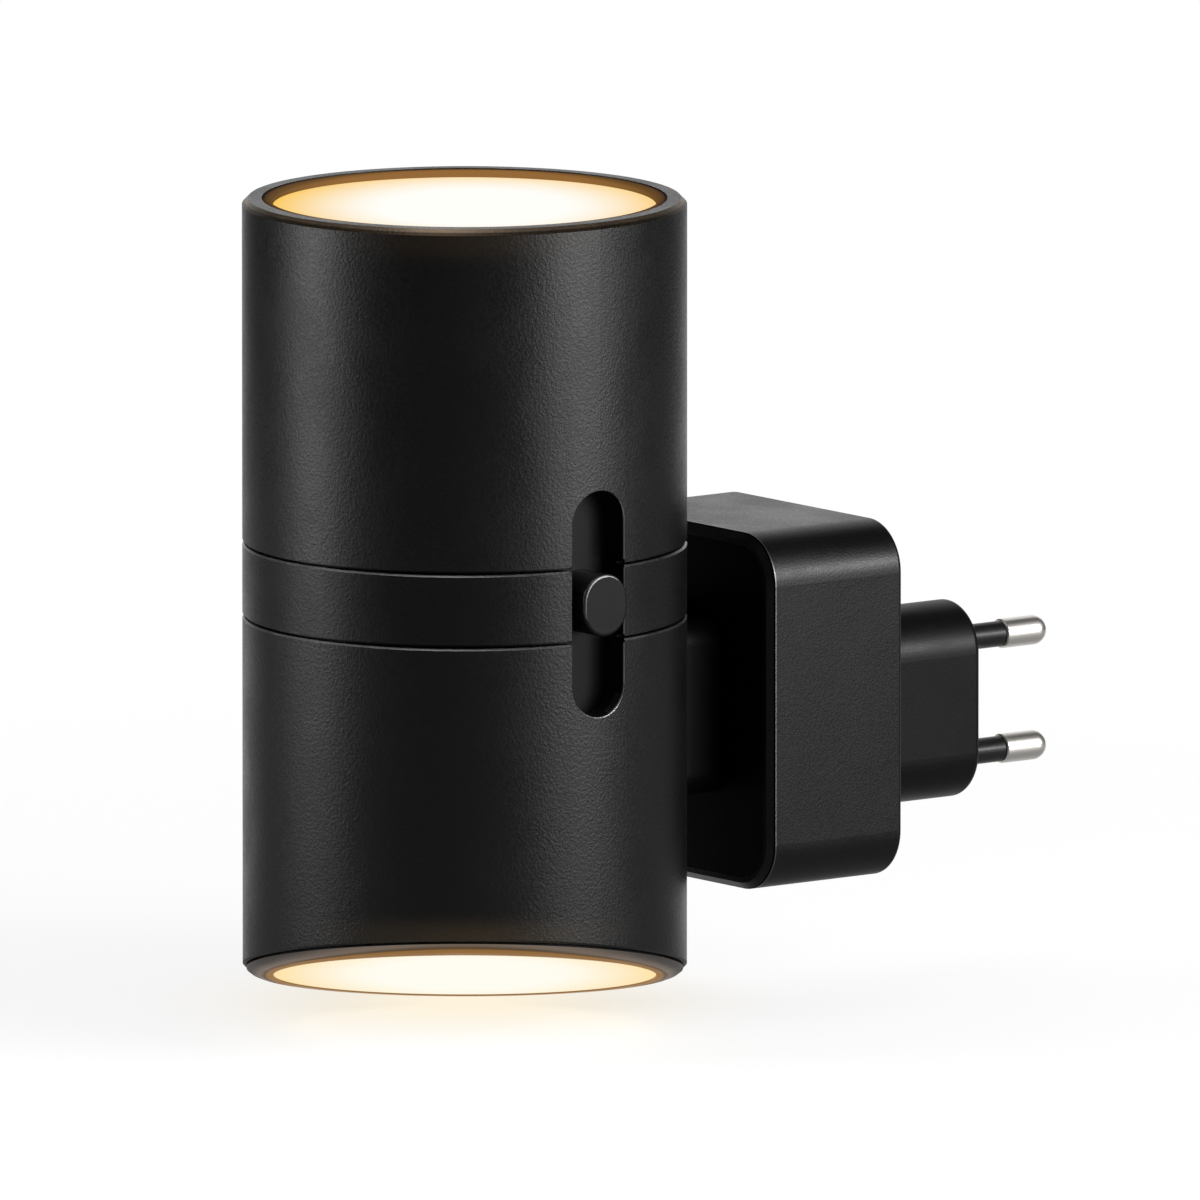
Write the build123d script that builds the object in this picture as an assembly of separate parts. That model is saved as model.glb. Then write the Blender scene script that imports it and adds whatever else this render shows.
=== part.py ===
"""Plug-in wall lamp: a round up-and-down head with a slide dimmer, a driver box and a two-pin plug.

The origin is the middle of the plug's end face, between the pins. The pins point along +Y into
the wall socket, the slide knob is on +X and +Z is up. Lengths are in mm and angles in degrees.
"""

import os
from math import cos, radians, sin, sqrt, tan

from build123d import *

# Plug pins and their insulating sleeves
pin_radius = 2.4
pin_length = 19.0
pin_spacing = 19.0
pin_core_radius = 1.6
pin_tail_length = 4.0
pin_collar_step = 1.1
pin_collar_length = 2.0
pin_collar_depth = 7.0
sleeve_wall = 0.5
sleeve_length = 10.0
sleeve_depth = 3.0
sleeve_root_step = 0.15
sleeve_root_length = 1.5

# Plug nose
nose_width = 16.2
nose_margin = 6.7
nose_length = 29.8
nose_block = 18.0
nose_wall = 2.4
nose_round = 1.2
nose_flange_side = 1.9
nose_flange_end = 4.3
nose_flange_thickness = 2.6
nose_flange_corner = 7.0

# Driver box
box_width = 51.0
box_corner = 8.1
box_wall = 2.0
box_rear_wall = 2.6
box_front_bevel = 1.1
box_rear_round = 0.8
box_rise = 5.3
box_end_room = 0.25
cover_thickness = 2.5
cover_ledge = 1.2
cover_post_radius = 3.2
cover_post_shift = 0.9
board_standoff = 4.5
board_standoff_radius = 2.8
board_standoff_edge = 2.8
board_standoff_z = 13.2

# Driver board and what stands on it
board_thickness = 1.6
driver_board_gap = 1.3
driver_board_end_gap = 1.8
driver_notch_width = 7.5
driver_notch_height = 7.0
component_room = 13.4
coil_width = 13.0
coil_height = 11.0
core_width = 8.0
core_limb = 2.4
core_margin = 0.6
core_room = 1.3
bulk_radius = 5.0
bulk_room = 1.4
output_radius = 3.6
output_room = 2.9
fuse_radius = 2.0
fuse_length = 9.0
choke_radius = 3.6
choke_length = 8.0
chip_width = 6.0
chip_height = 5.0
chip_depth = 1.7

# Places on the driver board, as shares of its half width and half height
coil_shares = (-0.55, 0.21)
bulk_shares = (0.57, -0.55)
output_shares = (-0.45, -0.6)
fuse_shares = (0.55, 0.23)
choke_shares = (0.36, 0.79)
chip_shares = (-0.26, 0.79)

# Neck between the box and the lamp head
neck_width = 24.4
neck_height = 29.0
neck_gap = 6.8
neck_corner = 4.0
wire_hole_radius = 3.2
mount_block_width = 20.0
mount_block_edge = 3.8
mount_block_gap = 0.7

# Lamp head shell
head_radius = 36.0
band_height = 11.6
shade_wall = 2.2
seam = 0.4
seam_bevel = 0.3
rim_bevel = 1.0
spigot_length = 6.0
spigot_wall = 2.0
shelf_edge = 0.25
shelf_thickness = 2.5
lip_width = 1.0
lip_depth = 2.8

# The lower mouth is cut on a slant that faces between the front and the knob's side
mouth_slant = 15.1
mouth_turn = 52.5
mouth_gap = 1.25
mouth_ring_proud = 1.8
mouth_ring_inset = 0.4
mouth_ring_face = 1.0
mouth_ring_steps = (1, 0.9, 0.7, 0.4, 0)
mouth_seam_depth = 1.0
mouth_collar_depth = 3.0

# Light openings: bezels, diffusers and reflectors
bezel_wall = 1.6
bezel_step = 0.15
bezel_slope = 0.5
bezel_flange = 1.5
diffuser_recess = 1.25
diffuser_thickness = 2.4
mouth_recess = 0.2
skirt_wall = 1.8
foot_thickness = 1.2
foot_gap = 0.4
foot_bearing = 0.9
chamber_height = 6.3
reflector_wall = 1.3
reflector_gap = 0.3

# Light boards and heat sinks
led_board_margin = 1.1
led_size = 3.5
led_height = 0.8
led_outer_count = 12
led_inner_count = 6
led_screw_count = 3
led_outer_share = 0.64
led_screw_share = 0.48
led_inner_share = 0.32
sink_plate_gap = 1.3
sink_plate_thickness = 2.5
sink_stem_radius = 9.5
sink_bore_radius = 4.0
sink_screw_ring = 6.8
fin_height = 7.7
fin_inset = 2.0
fin_thickness = 2.0
fin_count = 10

# Core frame inside the head
frame_half = 38.5
frame_gap = 1.2
frame_wall = 2.0
frame_foot = 1.1
frame_end_plate = 2.5
frame_flat_wall = 2.5
frame_window_depth = 10.0
frame_window_edge = 8.0
frame_flange = 2.5
frame_flange_gap = 0.3
frame_screw_angles = (80.0, 180.0, 280.0)

# Slide slot, shutter and knob
slot_width = 10.8
slot_length = 37.2
slot_depth = 5.4
knob_side_gap = 1.0
knob_height = 10.2
knob_proud = 1.6
knob_round = 0.5
knob_tail_width = 4.0
knob_tail_height = 6.4
knob_tail_length = 4.2
shutter_lap = 1.8
shutter_thickness = 1.4
shutter_cover = 0.6
shutter_room = 0.8
travel_end_gap = 0.4
slide_gap = 0.4

# Slot liner that guides the shutter
liner_end = 5.4
rail_wall = 1.8
rail_lip = 1.8
rail_lip_thickness = 1.2
post_radius = 2.3
post_height_inset = 3.0

# Slide dimmer and its board
control_board_end = 5.0
control_boss_height = 1.6
control_boss_radius = 2.6
control_screw_edge = 3.0
control_screw_inset = 2.3
can_depth = 7.0
can_width = 9.0
can_wall = 0.5
can_end_room = 4.4
can_front_gap = 3.2
track_thickness = 1.2
carriage_length = 8.0
carriage_gap = 0.6
wiper_gap = 0.5
wiper_thickness = 0.7
wiper_width = 1.2
wiper_length = 5.0
wiper_pitch = 3.4
lever_thickness = 1.2
lever_height = 4.0
lever_tip_gap = 1.0

# Wires
lead_radius = 0.8
lead_pitch = 2.0
lead_bend = 3.0
lead_turn = 4.0
lead_drop = 10.0
lead_hole_radius = 2.8
mains_lead_radius = 0.8

# Screws
large_shank = 2.0
large_head = 3.5
large_head_height = 2.4
large_nut_flats = 7.0
large_nut_height = 3.2
large_screw_spare = 1.0
nut_sides = 6
small_shank = 1.25
small_head = 2.0
small_head_height = 1.4
case_screw_grip = 10.0
small_screw_grip = 5.0
plate_screw_grip = 2.0

# Fits and the overrun of cuts
fit = 0.1
screw_fit = 0.05
over = 1.0
quarter = 90.0
half_turn = 180.0

# Plug and box sizes that follow from the ones above
pin_tail = nose_block + pin_tail_length
pin_collar_radius = pin_core_radius + pin_collar_step
sleeve_radius = pin_core_radius + sleeve_wall
sleeve_root_radius = sleeve_radius + sleeve_root_step
nose_height = pin_spacing + 2 * nose_margin
nose_flange_width = nose_width + 2 * nose_flange_side
nose_flange_height = nose_height + 2 * nose_flange_end
flange_screw_z = (nose_height + nose_flange_height) / 4
driver_seat = cover_thickness + board_standoff
driver_face = driver_seat + board_thickness
box_inner_rear = driver_face + component_room + nose_flange_thickness
box_depth = box_inner_rear + box_rear_wall
box_inset = box_wall + cover_ledge
box_height = 2 * (box_rise + nose_flange_height / 2 + box_inset + box_end_room)
box_front = -(nose_length + box_depth)
cover_post_inset = box_corner - cover_post_shift
post_x = box_width / 2 - cover_post_inset
post_rise = box_height / 2 - cover_post_inset
driver_board_width = box_width - 2 * (box_inset + driver_board_gap)
driver_board_height = box_height - 2 * (box_inset + driver_board_end_gap)
board_standoff_x = driver_board_width / 2 - board_standoff_edge
coil_depth = component_room - core_room - core_margin
bulk_length = component_room - bulk_room
output_length = component_room - output_room

# Head sizes, from the shell inwards
shade_inner = head_radius - shade_wall
band_half = band_height / 2
shade_start = band_half + seam
spigot_outer = shade_inner - fit
spigot_inner = spigot_outer - spigot_wall
spigot_end = shade_start + spigot_length
shelf_half = shelf_thickness / 2
shelf_width = 2 * (small_head + shelf_edge)
frame_radius = spigot_inner - shelf_width - frame_gap
lip_inner = shade_inner - lip_width
bezel_outer = lip_inner - fit
bezel_inner = bezel_outer - bezel_wall
diffuser_radius = bezel_inner - fit
skirt_inner = diffuser_radius - skirt_wall
foot_outer = shade_inner - foot_gap
reflector_outer = skirt_inner - reflector_gap
foot_inner = reflector_outer - foot_bearing
led_board_radius = reflector_outer + led_board_margin
led_outer_ring = led_board_radius * led_outer_share
led_screw_ring = led_board_radius * led_screw_share
led_inner_ring = led_board_radius * led_inner_share
sink_plate_radius = shade_inner - sink_plate_gap
fin_radius = frame_radius - fin_inset

# Heights, from the band outwards: the neck's block, the frame, the heat sinks and the light openings
mount_block_top = spigot_end + mount_block_gap
mount_block_height = frame_half - frame_end_plate - frame_foot - mount_block_top
neck_screw_spacing = mount_block_height - 2 * mount_block_edge
neck_drop = mount_block_top + mount_block_height / 2
neck_z = -neck_drop
band_rise = box_rise + neck_drop
neck_end = head_radius + neck_gap
nut_corner = large_nut_flats / 2 / cos(radians(half_turn / nut_sides))
wire_side = nut_corner + lead_radius + slide_gap
head_y = box_front - neck_end
travel = (slot_length - knob_height) / 2 - travel_end_gap
shutter_half = slot_length / 2 + travel + shutter_cover
shutter_reach = shutter_half + travel
sink_plate = max(shutter_reach + shutter_room, frame_half + fin_height)
led_seat = sink_plate + sink_plate_thickness
led_face = led_seat + board_thickness
foot_top = led_face + chamber_height + foot_thickness
upper_height = foot_top + bezel_flange + lip_depth - shade_start
top_height = shade_start + upper_height
lip_under = top_height - lip_depth
mouth_lean = tan(radians(mouth_slant))
mouth_stack = mouth_gap + reflector_outer * mouth_lean + foot_thickness + mouth_collar_depth
lower_height = led_face + mouth_stack - shade_start
mouth_height = -(shade_start + lower_height)
mouth_seat = mouth_height + mouth_collar_depth

# Slide parts, from the slot's floor inwards
slot_floor = head_radius - slot_depth
knob_width = slot_width - 2 * knob_side_gap
shutter_width = slot_width + 2 * shutter_lap
liner_height = slot_length + 2 * liner_end
liner_back = slot_floor + slide_gap
rail_inner = shutter_width / 2 + slide_gap
rail_outer = rail_inner + rail_wall
rail_lip_face = slot_floor - shutter_thickness - slide_gap
post_y = rail_inner + post_radius
post_z = liner_height / 2 - post_height_inset
liner_half = post_y + post_radius
can_front = slot_floor - knob_tail_length - can_front_gap
control_face = can_front - can_depth
control_back = control_face - board_thickness
frame_flat = control_back - control_boss_height
can_length = carriage_length + 2 * (travel + can_end_room + can_wall)
control_board_width = 2 * (rail_inner - slide_gap)
control_board_height = can_length + 2 * control_board_end
control_screw_y = control_screw_edge - control_board_width / 2
control_screw_z = control_board_height / 2 - control_screw_inset
track_face = control_face + track_thickness
carriage_back = track_face + wiper_gap + wiper_thickness
carriage_front = can_front - can_wall - carriage_gap
lever_tip = slot_floor - lever_tip_gap
frame_window = frame_radius - frame_window_depth

upright = (Align.CENTER, Align.CENTER, Align.MIN)
signs = (-1, 1)

# Placement of the two sub-frames: the head's axis at the band's middle, and the box's front face
head = Pos(0, head_y, band_rise)
box = Pos(0, box_front, box_rise)


def bar_z(radius, start, end):
    """Round bar along Z between two heights."""
    return Pos(0, 0, start) * Cylinder(radius, end - start, align=upright)


def bar_y(radius, start, end):
    """Round bar along Y between two places."""
    return Pos(0, start, 0) * Rot(-quarter, 0, 0) * Cylinder(radius, end - start, align=upright)


def bar_x(radius, start, end):
    """Round bar along X between two places."""
    return Pos(start, 0, 0) * Rot(0, quarter, 0) * Cylinder(radius, end - start, align=upright)


def block_x(width, height, start, end):
    """Square-edged block from one x to another, centred on Y and Z."""
    return Pos((start + end) / 2, 0, 0) * Box(end - start, width, height)


def block_y(width, height, start, end):
    """Square-edged block from one y to another, centred on X and Z."""
    return Pos(0, (start + end) / 2, 0) * Box(width, end - start, height)


def slab_y(width, height, corner, start, end):
    """Block with rounded corners from one y to another, centred on X and Z."""
    outline = RectangleRounded(width, height, corner)
    return Pos(0, start, 0) * Rot(-quarter, 0, 0) * extrude(outline, end - start)


def pill_y(width, height, start, end):
    """Upright stadium-shaped bar from one y to another."""
    outline = SlotOverall(height, width, rotation=quarter)
    return Pos(0, start, 0) * Rot(-quarter, 0, 0) * extrude(outline, end - start)


def pill_x(width, height, start, end):
    """Upright stadium-shaped bar from one x to another."""
    outline = SlotOverall(height, width)
    return Pos(start, 0, 0) * Rot(0, quarter, 0) * extrude(outline, end - start)


def ring_z(outer, inner, start, end):
    """Plain ring about Z between two heights."""
    return bar_z(outer, start, end) - bar_z(inner, start - over, end + over)


def turned(*points):
    """Solid turned about Z from a closed outline of radius and height pairs."""
    return revolve(Plane.XZ * make_face(Polyline(*points, close=True)), Axis.Z)


def group(solids):
    """Separate equal solids kept together as one piece."""
    return Compound([solid for part in solids for solid in part.solids()])


def flipped(part):
    """Mirror image below the band of something made above it."""
    return mirror(part, about=Plane.XY)


def mouth_plane(height):
    """Slanted plane of the lower mouth where it crosses the head's axis at this height."""
    turn = radians(mouth_turn)
    uphill = Vector(sin(turn), -cos(turn), mouth_lean)
    normal = Vector(-mouth_lean * sin(turn), mouth_lean * cos(turn), 1)
    return Plane(origin=(0, 0, height), x_dir=uphill, z_dir=normal)


def above_mouth(part, height):
    """The part of a piece above a slanted plane."""
    return split(part, bisect_by=mouth_plane(height), keep=Keep.TOP)


def below_mouth(part, height):
    """The part of a piece below a slanted plane."""
    return split(part, bisect_by=mouth_plane(height), keep=Keep.BOTTOM)


def mouth_band(outer, inner, low, high):
    """Ring with upright walls between two slanted planes."""
    spread = outer * mouth_lean + over
    ring = ring_z(outer, inner, low - spread, high + spread)
    return below_mouth(above_mouth(ring, low), high)


def mouth_disc(radius, low, high):
    """Round plate with an upright wall between two slanted planes."""
    spread = radius * mouth_lean + over
    plate = bar_z(radius, low - spread, high + spread)
    return below_mouth(above_mouth(plate, low), high)


def mouth_outline(radius, height):
    """Where an upright cylinder meets a slanted plane: an ellipse."""
    return mouth_plane(height) * Ellipse(radius / cos(radians(mouth_slant)), radius)


def small_screw_z(seat, grip):
    """Small screw on the Z axis, head above the seat and shank below it."""
    return bar_z(small_head, seat, seat + small_head_height) + bar_z(small_shank, seat - grip, seat)


# Lamp head: shades and band


def slot_cut():
    """Stadium-shaped way through the wall on the knob's side."""
    return pill_x(slot_width, slot_length, slot_floor - over, head_radius + over)


def neck_holes():
    """Ways for the wires and the two neck screws, from the frame's inside to the box."""
    wires = bar_y(wire_hole_radius, 0, neck_end + cover_thickness + over)
    holes = Pos(-wire_side, 0, 0) * wires
    for sign in signs:
        rise = sign * neck_screw_spacing / 2
        holes += Pos(0, 0, rise) * bar_y(large_shank + fit, 0, neck_end + cover_thickness + over)
    return Pos(0, 0, neck_z) * holes


def upper_shade():
    """Upper tube with a bevelled rim and an inward lip that holds the bezel down."""
    shade = turned(
        (shade_inner, shade_start),
        (head_radius - seam_bevel, shade_start),
        (head_radius, shade_start + seam_bevel),
        (head_radius, top_height - rim_bevel),
        (head_radius - rim_bevel, top_height),
        (lip_inner, top_height),
        (lip_inner, lip_under),
        (shade_inner, lip_under),
    )
    return shade - slot_cut()


def lower_shade():
    """Lower tube with the slanted mouth, drilled at the back for the neck."""
    low = mouth_height - head_radius * mouth_lean - over
    shade = turned(
        (shade_inner, low),
        (head_radius, low),
        (head_radius, -shade_start - seam_bevel),
        (head_radius - seam_bevel, -shade_start),
        (shade_inner, -shade_start),
    )
    shade = above_mouth(shade, mouth_height)
    mouth_edge = shade.edges().filter_by(GeomType.ELLIPSE).sort_by(SortBy.LENGTH)[-1]
    shade = chamfer(mouth_edge, seam_bevel)
    return shade - slot_cut() - neck_holes()


def centre_band():
    """Middle ring with a spigot for each shade and a shelf for the core frame."""
    band = turned(
        (spigot_inner, -spigot_end),
        (spigot_outer, -spigot_end),
        (spigot_outer, -band_half),
        (head_radius - seam_bevel, -band_half),
        (head_radius, -band_half + seam_bevel),
        (head_radius, band_half - seam_bevel),
        (head_radius - seam_bevel, band_half),
        (spigot_outer, band_half),
        (spigot_outer, spigot_end),
        (spigot_inner, spigot_end),
    )
    band += ring_z(spigot_inner + over, spigot_inner - shelf_width, -shelf_half, shelf_half)
    pocket = block_x(2 * (liner_half + slide_gap), 2 * (spigot_end + over), frame_flat, head_radius)
    pocket &= bar_z(shade_inner, -spigot_end - over, spigot_end + over)
    for angle in frame_screw_angles:
        band -= frame_screw_place(angle) * bar_z(small_shank + fit, -shelf_thickness, shelf_thickness)
    return band - pocket - slot_cut()


# Lamp head: light openings


def upper_bezel():
    """Ring inside the upper rim, held under the lip by its flange."""
    ring_top = top_height - bezel_step
    return turned(
        (bezel_inner, foot_top),
        (foot_outer, foot_top),
        (foot_outer, lip_under),
        (bezel_outer, lip_under),
        (bezel_outer, ring_top),
        (bezel_inner + bezel_slope, ring_top),
        (bezel_inner, ring_top - bezel_slope),
    )


def lower_bezel():
    """Rounded ring that covers the slanted end of the lower shade, with a collar inside it."""
    face = bezel_inner + mouth_ring_face
    side = head_radius - mouth_ring_inset
    outlines = []
    for share in mouth_ring_steps:
        radius = face + (side - face) * (1 - share**2) ** 0.5
        outlines.append(mouth_outline(radius, mouth_height - share * mouth_ring_proud))
    ring = loft(outlines, ruled=True)
    reach = mouth_ring_proud + head_radius * mouth_lean + over
    ring -= bar_z(bezel_inner, mouth_height - reach, mouth_height + reach)
    ring -= mouth_band(head_radius, side - mouth_seam_depth, mouth_height - seam, mouth_height)
    return ring + mouth_band(spigot_outer, bezel_inner, mouth_height, mouth_seat)


def upper_diffuser():
    """Opal cap: a disc near the rim, a skirt inside the bezel and a foot below it."""
    face = top_height - diffuser_recess
    return turned(
        (0, face),
        (diffuser_radius, face),
        (diffuser_radius, foot_top),
        (foot_outer, foot_top),
        (foot_outer, foot_top - foot_thickness),
        (foot_inner, foot_top - foot_thickness),
        (foot_inner, foot_top),
        (skirt_inner, foot_top),
        (skirt_inner, face - diffuser_thickness),
        (0, face - diffuser_thickness),
    )


def lower_diffuser():
    """Opal cap of the slanted mouth."""
    face = mouth_height - mouth_ring_proud + mouth_recess
    disc = mouth_disc(diffuser_radius, face, face + diffuser_thickness)
    skirt = mouth_band(diffuser_radius, skirt_inner, face, mouth_seat)
    foot = mouth_band(foot_outer, foot_inner, mouth_seat, mouth_seat + foot_thickness)
    return disc + skirt + foot


def upper_reflector():
    """White tube between the upper light board and the diffuser's foot."""
    return ring_z(reflector_outer, reflector_outer - reflector_wall, led_face, foot_top - foot_thickness)


def lower_reflector():
    """White tube below the lower light board, cut to the slant of the mouth."""
    foot = mouth_seat + foot_thickness
    low = foot - head_radius * mouth_lean
    tube = ring_z(reflector_outer, reflector_outer - reflector_wall, low, -led_face)
    return above_mouth(tube, foot)


# Lamp head: light boards and heat sinks, made for the upper side


def heat_sink():
    """Plate under a light board with a bored stem and radial fins down to the frame."""
    sink = bar_z(sink_plate_radius, sink_plate, led_seat) + bar_z(sink_stem_radius, frame_half, led_seat)
    outwards = (Align.MIN, Align.CENTER, Align.MIN)
    for place in PolarLocations(0, fin_count):
        fin = Box(fin_radius, fin_thickness, sink_plate - frame_half, align=outwards)
        sink += place * Pos(0, 0, frame_half) * fin
    sink -= bar_z(sink_bore_radius, frame_half - over, led_seat + over)
    for place in PolarLocations(led_screw_ring, led_screw_count):
        sink -= place * bar_z(small_shank + screw_fit, led_seat - plate_screw_grip, led_seat + over)
    for place in sink_screw_places():
        sink -= place * bar_z(small_shank + screw_fit, frame_half - over, frame_half + small_screw_grip)
    return sink


def led_board():
    """Round light board with holes for its screws and for the two wires."""
    board = bar_z(led_board_radius, led_seat, led_face)
    for place in PolarLocations(led_screw_ring, led_screw_count):
        board -= place * bar_z(small_shank + fit, led_seat - over, led_face + over)
    for sign in signs:
        side = Pos(0, sign * lead_pitch / 2, 0)
        board -= side * bar_z(lead_radius + fit, led_seat - over, led_face + over)
    return board


def led_packages():
    """Two rings of square light sources on a light board."""
    package = Pos(0, 0, led_face) * Box(led_size, led_size, led_height, align=upright)
    outer_turn = half_turn / led_outer_count
    inner_turn = half_turn / led_inner_count
    outer = [place * package for place in PolarLocations(led_outer_ring, led_outer_count, outer_turn)]
    inner = [place * package for place in PolarLocations(led_inner_ring, led_inner_count, inner_turn)]
    return group(outer + inner)


def led_board_screws():
    """Screws that hold both light boards to their heat sinks."""
    screw = small_screw_z(led_face, board_thickness + plate_screw_grip)
    upper = [place * screw for place in PolarLocations(led_screw_ring, led_screw_count)]
    return group(upper + [flipped(piece) for piece in upper])


def sink_screw_places():
    """Where the two screws of a heat sink stand, on either side of the axis along Y."""
    return [Pos(0, sign * sink_screw_ring, 0) for sign in signs]


def heat_sink_screws():
    """Screws from inside the frame into the stems of both heat sinks."""
    seat = frame_half - frame_end_plate
    screw = flipped(small_screw_z(-seat, frame_end_plate + small_screw_grip))
    upper = [place * screw for place in sink_screw_places()]
    return group(upper + [flipped(piece) for piece in upper])


# Lamp head: core frame


def frame_screw_place(angle):
    """Where a frame screw stands on the band's shelf."""
    return Rot(0, 0, angle) * Pos(spigot_inner - shelf_width / 2, 0, 0)


def frame_drum():
    """Hollow drum, flat on the knob's side and open on the side away from it."""
    inner_half = frame_half - frame_end_plate
    drum = bar_z(frame_radius, -frame_half, frame_half)
    drum -= block_x(2 * frame_radius, 2 * frame_half, frame_flat, frame_radius + over)
    hollow = bar_z(frame_radius - frame_wall, -inner_half, inner_half)
    hollow -= block_x(2 * frame_radius, 2 * frame_half, frame_flat - frame_flat_wall, frame_radius)
    window_half = inner_half - frame_window_edge
    window = block_x(2 * frame_radius, 2 * window_half, -frame_radius - over, -frame_window)
    return drum - hollow - window


def frame_holes():
    """Every hole through the drum: for screws and for wires."""
    holes = neck_holes()
    for side in signs:
        end = Pos(0, 0, side * frame_half)
        holes += end * bar_z(sink_bore_radius, -frame_end_plate - over, frame_end_plate + over)
        for place in sink_screw_places():
            hole = bar_z(small_shank + fit, -frame_end_plate - over, frame_end_plate + over)
            holes += place * end * hole
        wires = bar_x(lead_hole_radius, frame_flat - frame_flat_wall - over, frame_flat + over)
        holes += Pos(0, 0, side * lead_drop) * wires
        for other in signs:
            post = bar_x(small_shank + fit, frame_flat - frame_flat_wall - over, frame_flat + over)
            holes += Pos(0, side * post_y, other * post_z) * post
        pilot = bar_x(small_shank + screw_fit, frame_flat - frame_flat_wall - over, control_back + over)
        holes += Pos(0, control_screw_y, side * control_screw_z) * pilot
    supply = bar_x(lead_hole_radius, frame_flat - frame_flat_wall - over, frame_flat + over)
    return holes + Pos(0, lead_turn, neck_z) * supply


def core_frame():
    """Moulded core that carries the heat sinks, the dimmer and the neck, clamped to the band's shelf."""
    frame = frame_drum()
    flange_outer = spigot_inner - frame_flange_gap
    flange = ring_z(flange_outer, frame_radius - over, shelf_half, shelf_half + frame_flange)
    flange -= block_x(2 * head_radius, 2 * frame_half, frame_flat, head_radius)
    frame += flange
    for side in signs:
        boss = bar_x(control_boss_radius, frame_flat, control_back)
        frame += Pos(0, control_screw_y, side * control_screw_z) * boss
    frame -= frame_holes()
    for angle in frame_screw_angles:
        pilot = bar_z(small_shank + screw_fit, 0, shelf_half + frame_flange + over)
        frame -= frame_screw_place(angle) * pilot
    return frame


def frame_screws():
    """Screws from under the shelf into the frame's flange."""
    screw = flipped(small_screw_z(shelf_half, shelf_thickness + frame_flange))
    return group([frame_screw_place(angle) * screw for angle in frame_screw_angles])


def mount_block():
    """Saddle block that fills the space between the frame and the lower shade behind the neck."""
    body = Pos(0, 0, neck_z) * block_y(mount_block_width, mount_block_height, 0, head_radius)
    ring = ring_z(spigot_outer, frame_radius + fit, mouth_height, 0)
    return (body & ring) - neck_holes()


# Slide dimmer


def slot_liner():
    """Frame behind the slot with rails for the shutter and four posts to the core frame."""
    plate = block_x(2 * liner_half, liner_height, liner_back, head_radius)
    rail_back = rail_lip_face - rail_lip_thickness
    rails = block_x(2 * rail_outer, liner_height, rail_back, liner_back)
    rails -= block_x(2 * rail_inner, liner_height + over, rail_lip_face, liner_back)
    rails -= block_x(2 * (rail_inner - rail_lip), liner_height + over, rail_back - over, rail_lip_face + over)
    liner = plate + rails
    for side in signs:
        for other in signs:
            post = bar_x(post_radius, frame_flat, liner_back)
            post -= bar_x(small_shank + screw_fit, frame_flat - over, frame_flat + small_screw_grip)
            liner += Pos(0, side * post_y, other * post_z) * post
    return (liner & bar_z(spigot_outer, -liner_height, liner_height)) - slot_cut()


def liner_screws():
    """Screws from inside the frame into the liner's posts."""
    seat = frame_flat - frame_flat_wall
    screw = bar_x(small_head, seat - small_head_height, seat)
    screw += bar_x(small_shank, seat, frame_flat + small_screw_grip)
    return group([Pos(0, y * post_y, z * post_z) * screw for y in signs for z in signs])


def control_board():
    """Board that carries the dimmer, on two bosses of the core frame."""
    board = block_x(control_board_width, control_board_height, control_back, control_face)
    for side in signs:
        hole = bar_x(small_shank + fit, control_back - over, control_face + over)
        board -= Pos(0, control_screw_y, side * control_screw_z) * hole
    return board


def control_board_screws():
    """Screws through the control board into the frame's bosses."""
    screw = bar_x(small_head, control_face, control_face + small_head_height)
    screw += bar_x(small_shank, frame_flat, control_face)
    return group([Pos(0, control_screw_y, side * control_screw_z) * screw for side in signs])


def dimmer_can():
    """Sheet-metal can of the dimmer, open at the back, with a slot for the lever."""
    can = block_x(can_width, can_length, control_face, can_front)
    inside_width = can_width - 2 * can_wall
    can -= block_x(inside_width, can_length - 2 * can_wall, control_face - over, can_front - can_wall)
    lever_slot = lever_height + 2 * (travel + slide_gap)
    return can - block_x(lever_thickness + 2 * slide_gap, lever_slot, carriage_front, can_front + over)


def dimmer_track():
    """Resistive track strip that closes the can's back."""
    width = can_width - 2 * (can_wall + fit)
    return block_x(width, can_length - 2 * (can_wall + fit), control_face, track_face)


def dimmer_slider():
    """Carriage inside the can with the lever that reaches into the knob."""
    width = can_width - 2 * (can_wall + carriage_gap)
    carriage = block_x(width, carriage_length, carriage_back, carriage_front)
    return carriage + block_x(lever_thickness, lever_height, carriage_front, lever_tip)


def dimmer_wiper():
    """Two contact fingers on the carriage, just clear of the track."""
    finger = block_x(wiper_width, wiper_length, carriage_back - wiper_thickness, carriage_back)
    return group([Pos(0, side * wiper_pitch / 2, 0) * finger for side in signs])


def switch_knob():
    """Stadium-shaped knob with a tail through the shutter that takes the lever."""
    knob = pill_x(knob_width, knob_height, slot_floor, head_radius + knob_proud)
    knob = fillet(knob.faces().sort_by(Axis.X)[-1].edges(), knob_round)
    knob += block_x(knob_tail_width, knob_tail_height, slot_floor - knob_tail_length, slot_floor)
    socket_width = lever_thickness + 2 * fit
    tail_end = slot_floor - knob_tail_length
    return knob - block_x(socket_width, lever_height + 2 * fit, tail_end - over, lever_tip + fit)


def slide_shutter():
    """Long strip behind the slot that moves with the knob and keeps the slot closed."""
    strip = block_x(shutter_width, 2 * shutter_half, slot_floor - shutter_thickness, slot_floor)
    hole_width = knob_tail_width + 2 * fit
    hole_height = knob_tail_height + 2 * fit
    return strip - block_x(hole_width, hole_height, slot_floor - shutter_thickness - over, slot_floor + over)


# Wires inside the head


def lead(points):
    """Round wire along a bent path."""
    path = FilletPolyline(*points, radius=lead_bend)
    return sweep((path ^ 0) * Circle(lead_radius), path=path)


def supply_leads():
    """Pair of wires from the driver board through the neck to the control board."""
    start = neck_end + driver_seat
    heights = [neck_z + sign * lead_pitch / 2 for sign in signs]
    return group(
        lead([(-wire_side, start, z), (-wire_side, lead_turn, z), (control_back, lead_turn, z)])
        for z in heights
    )


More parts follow.
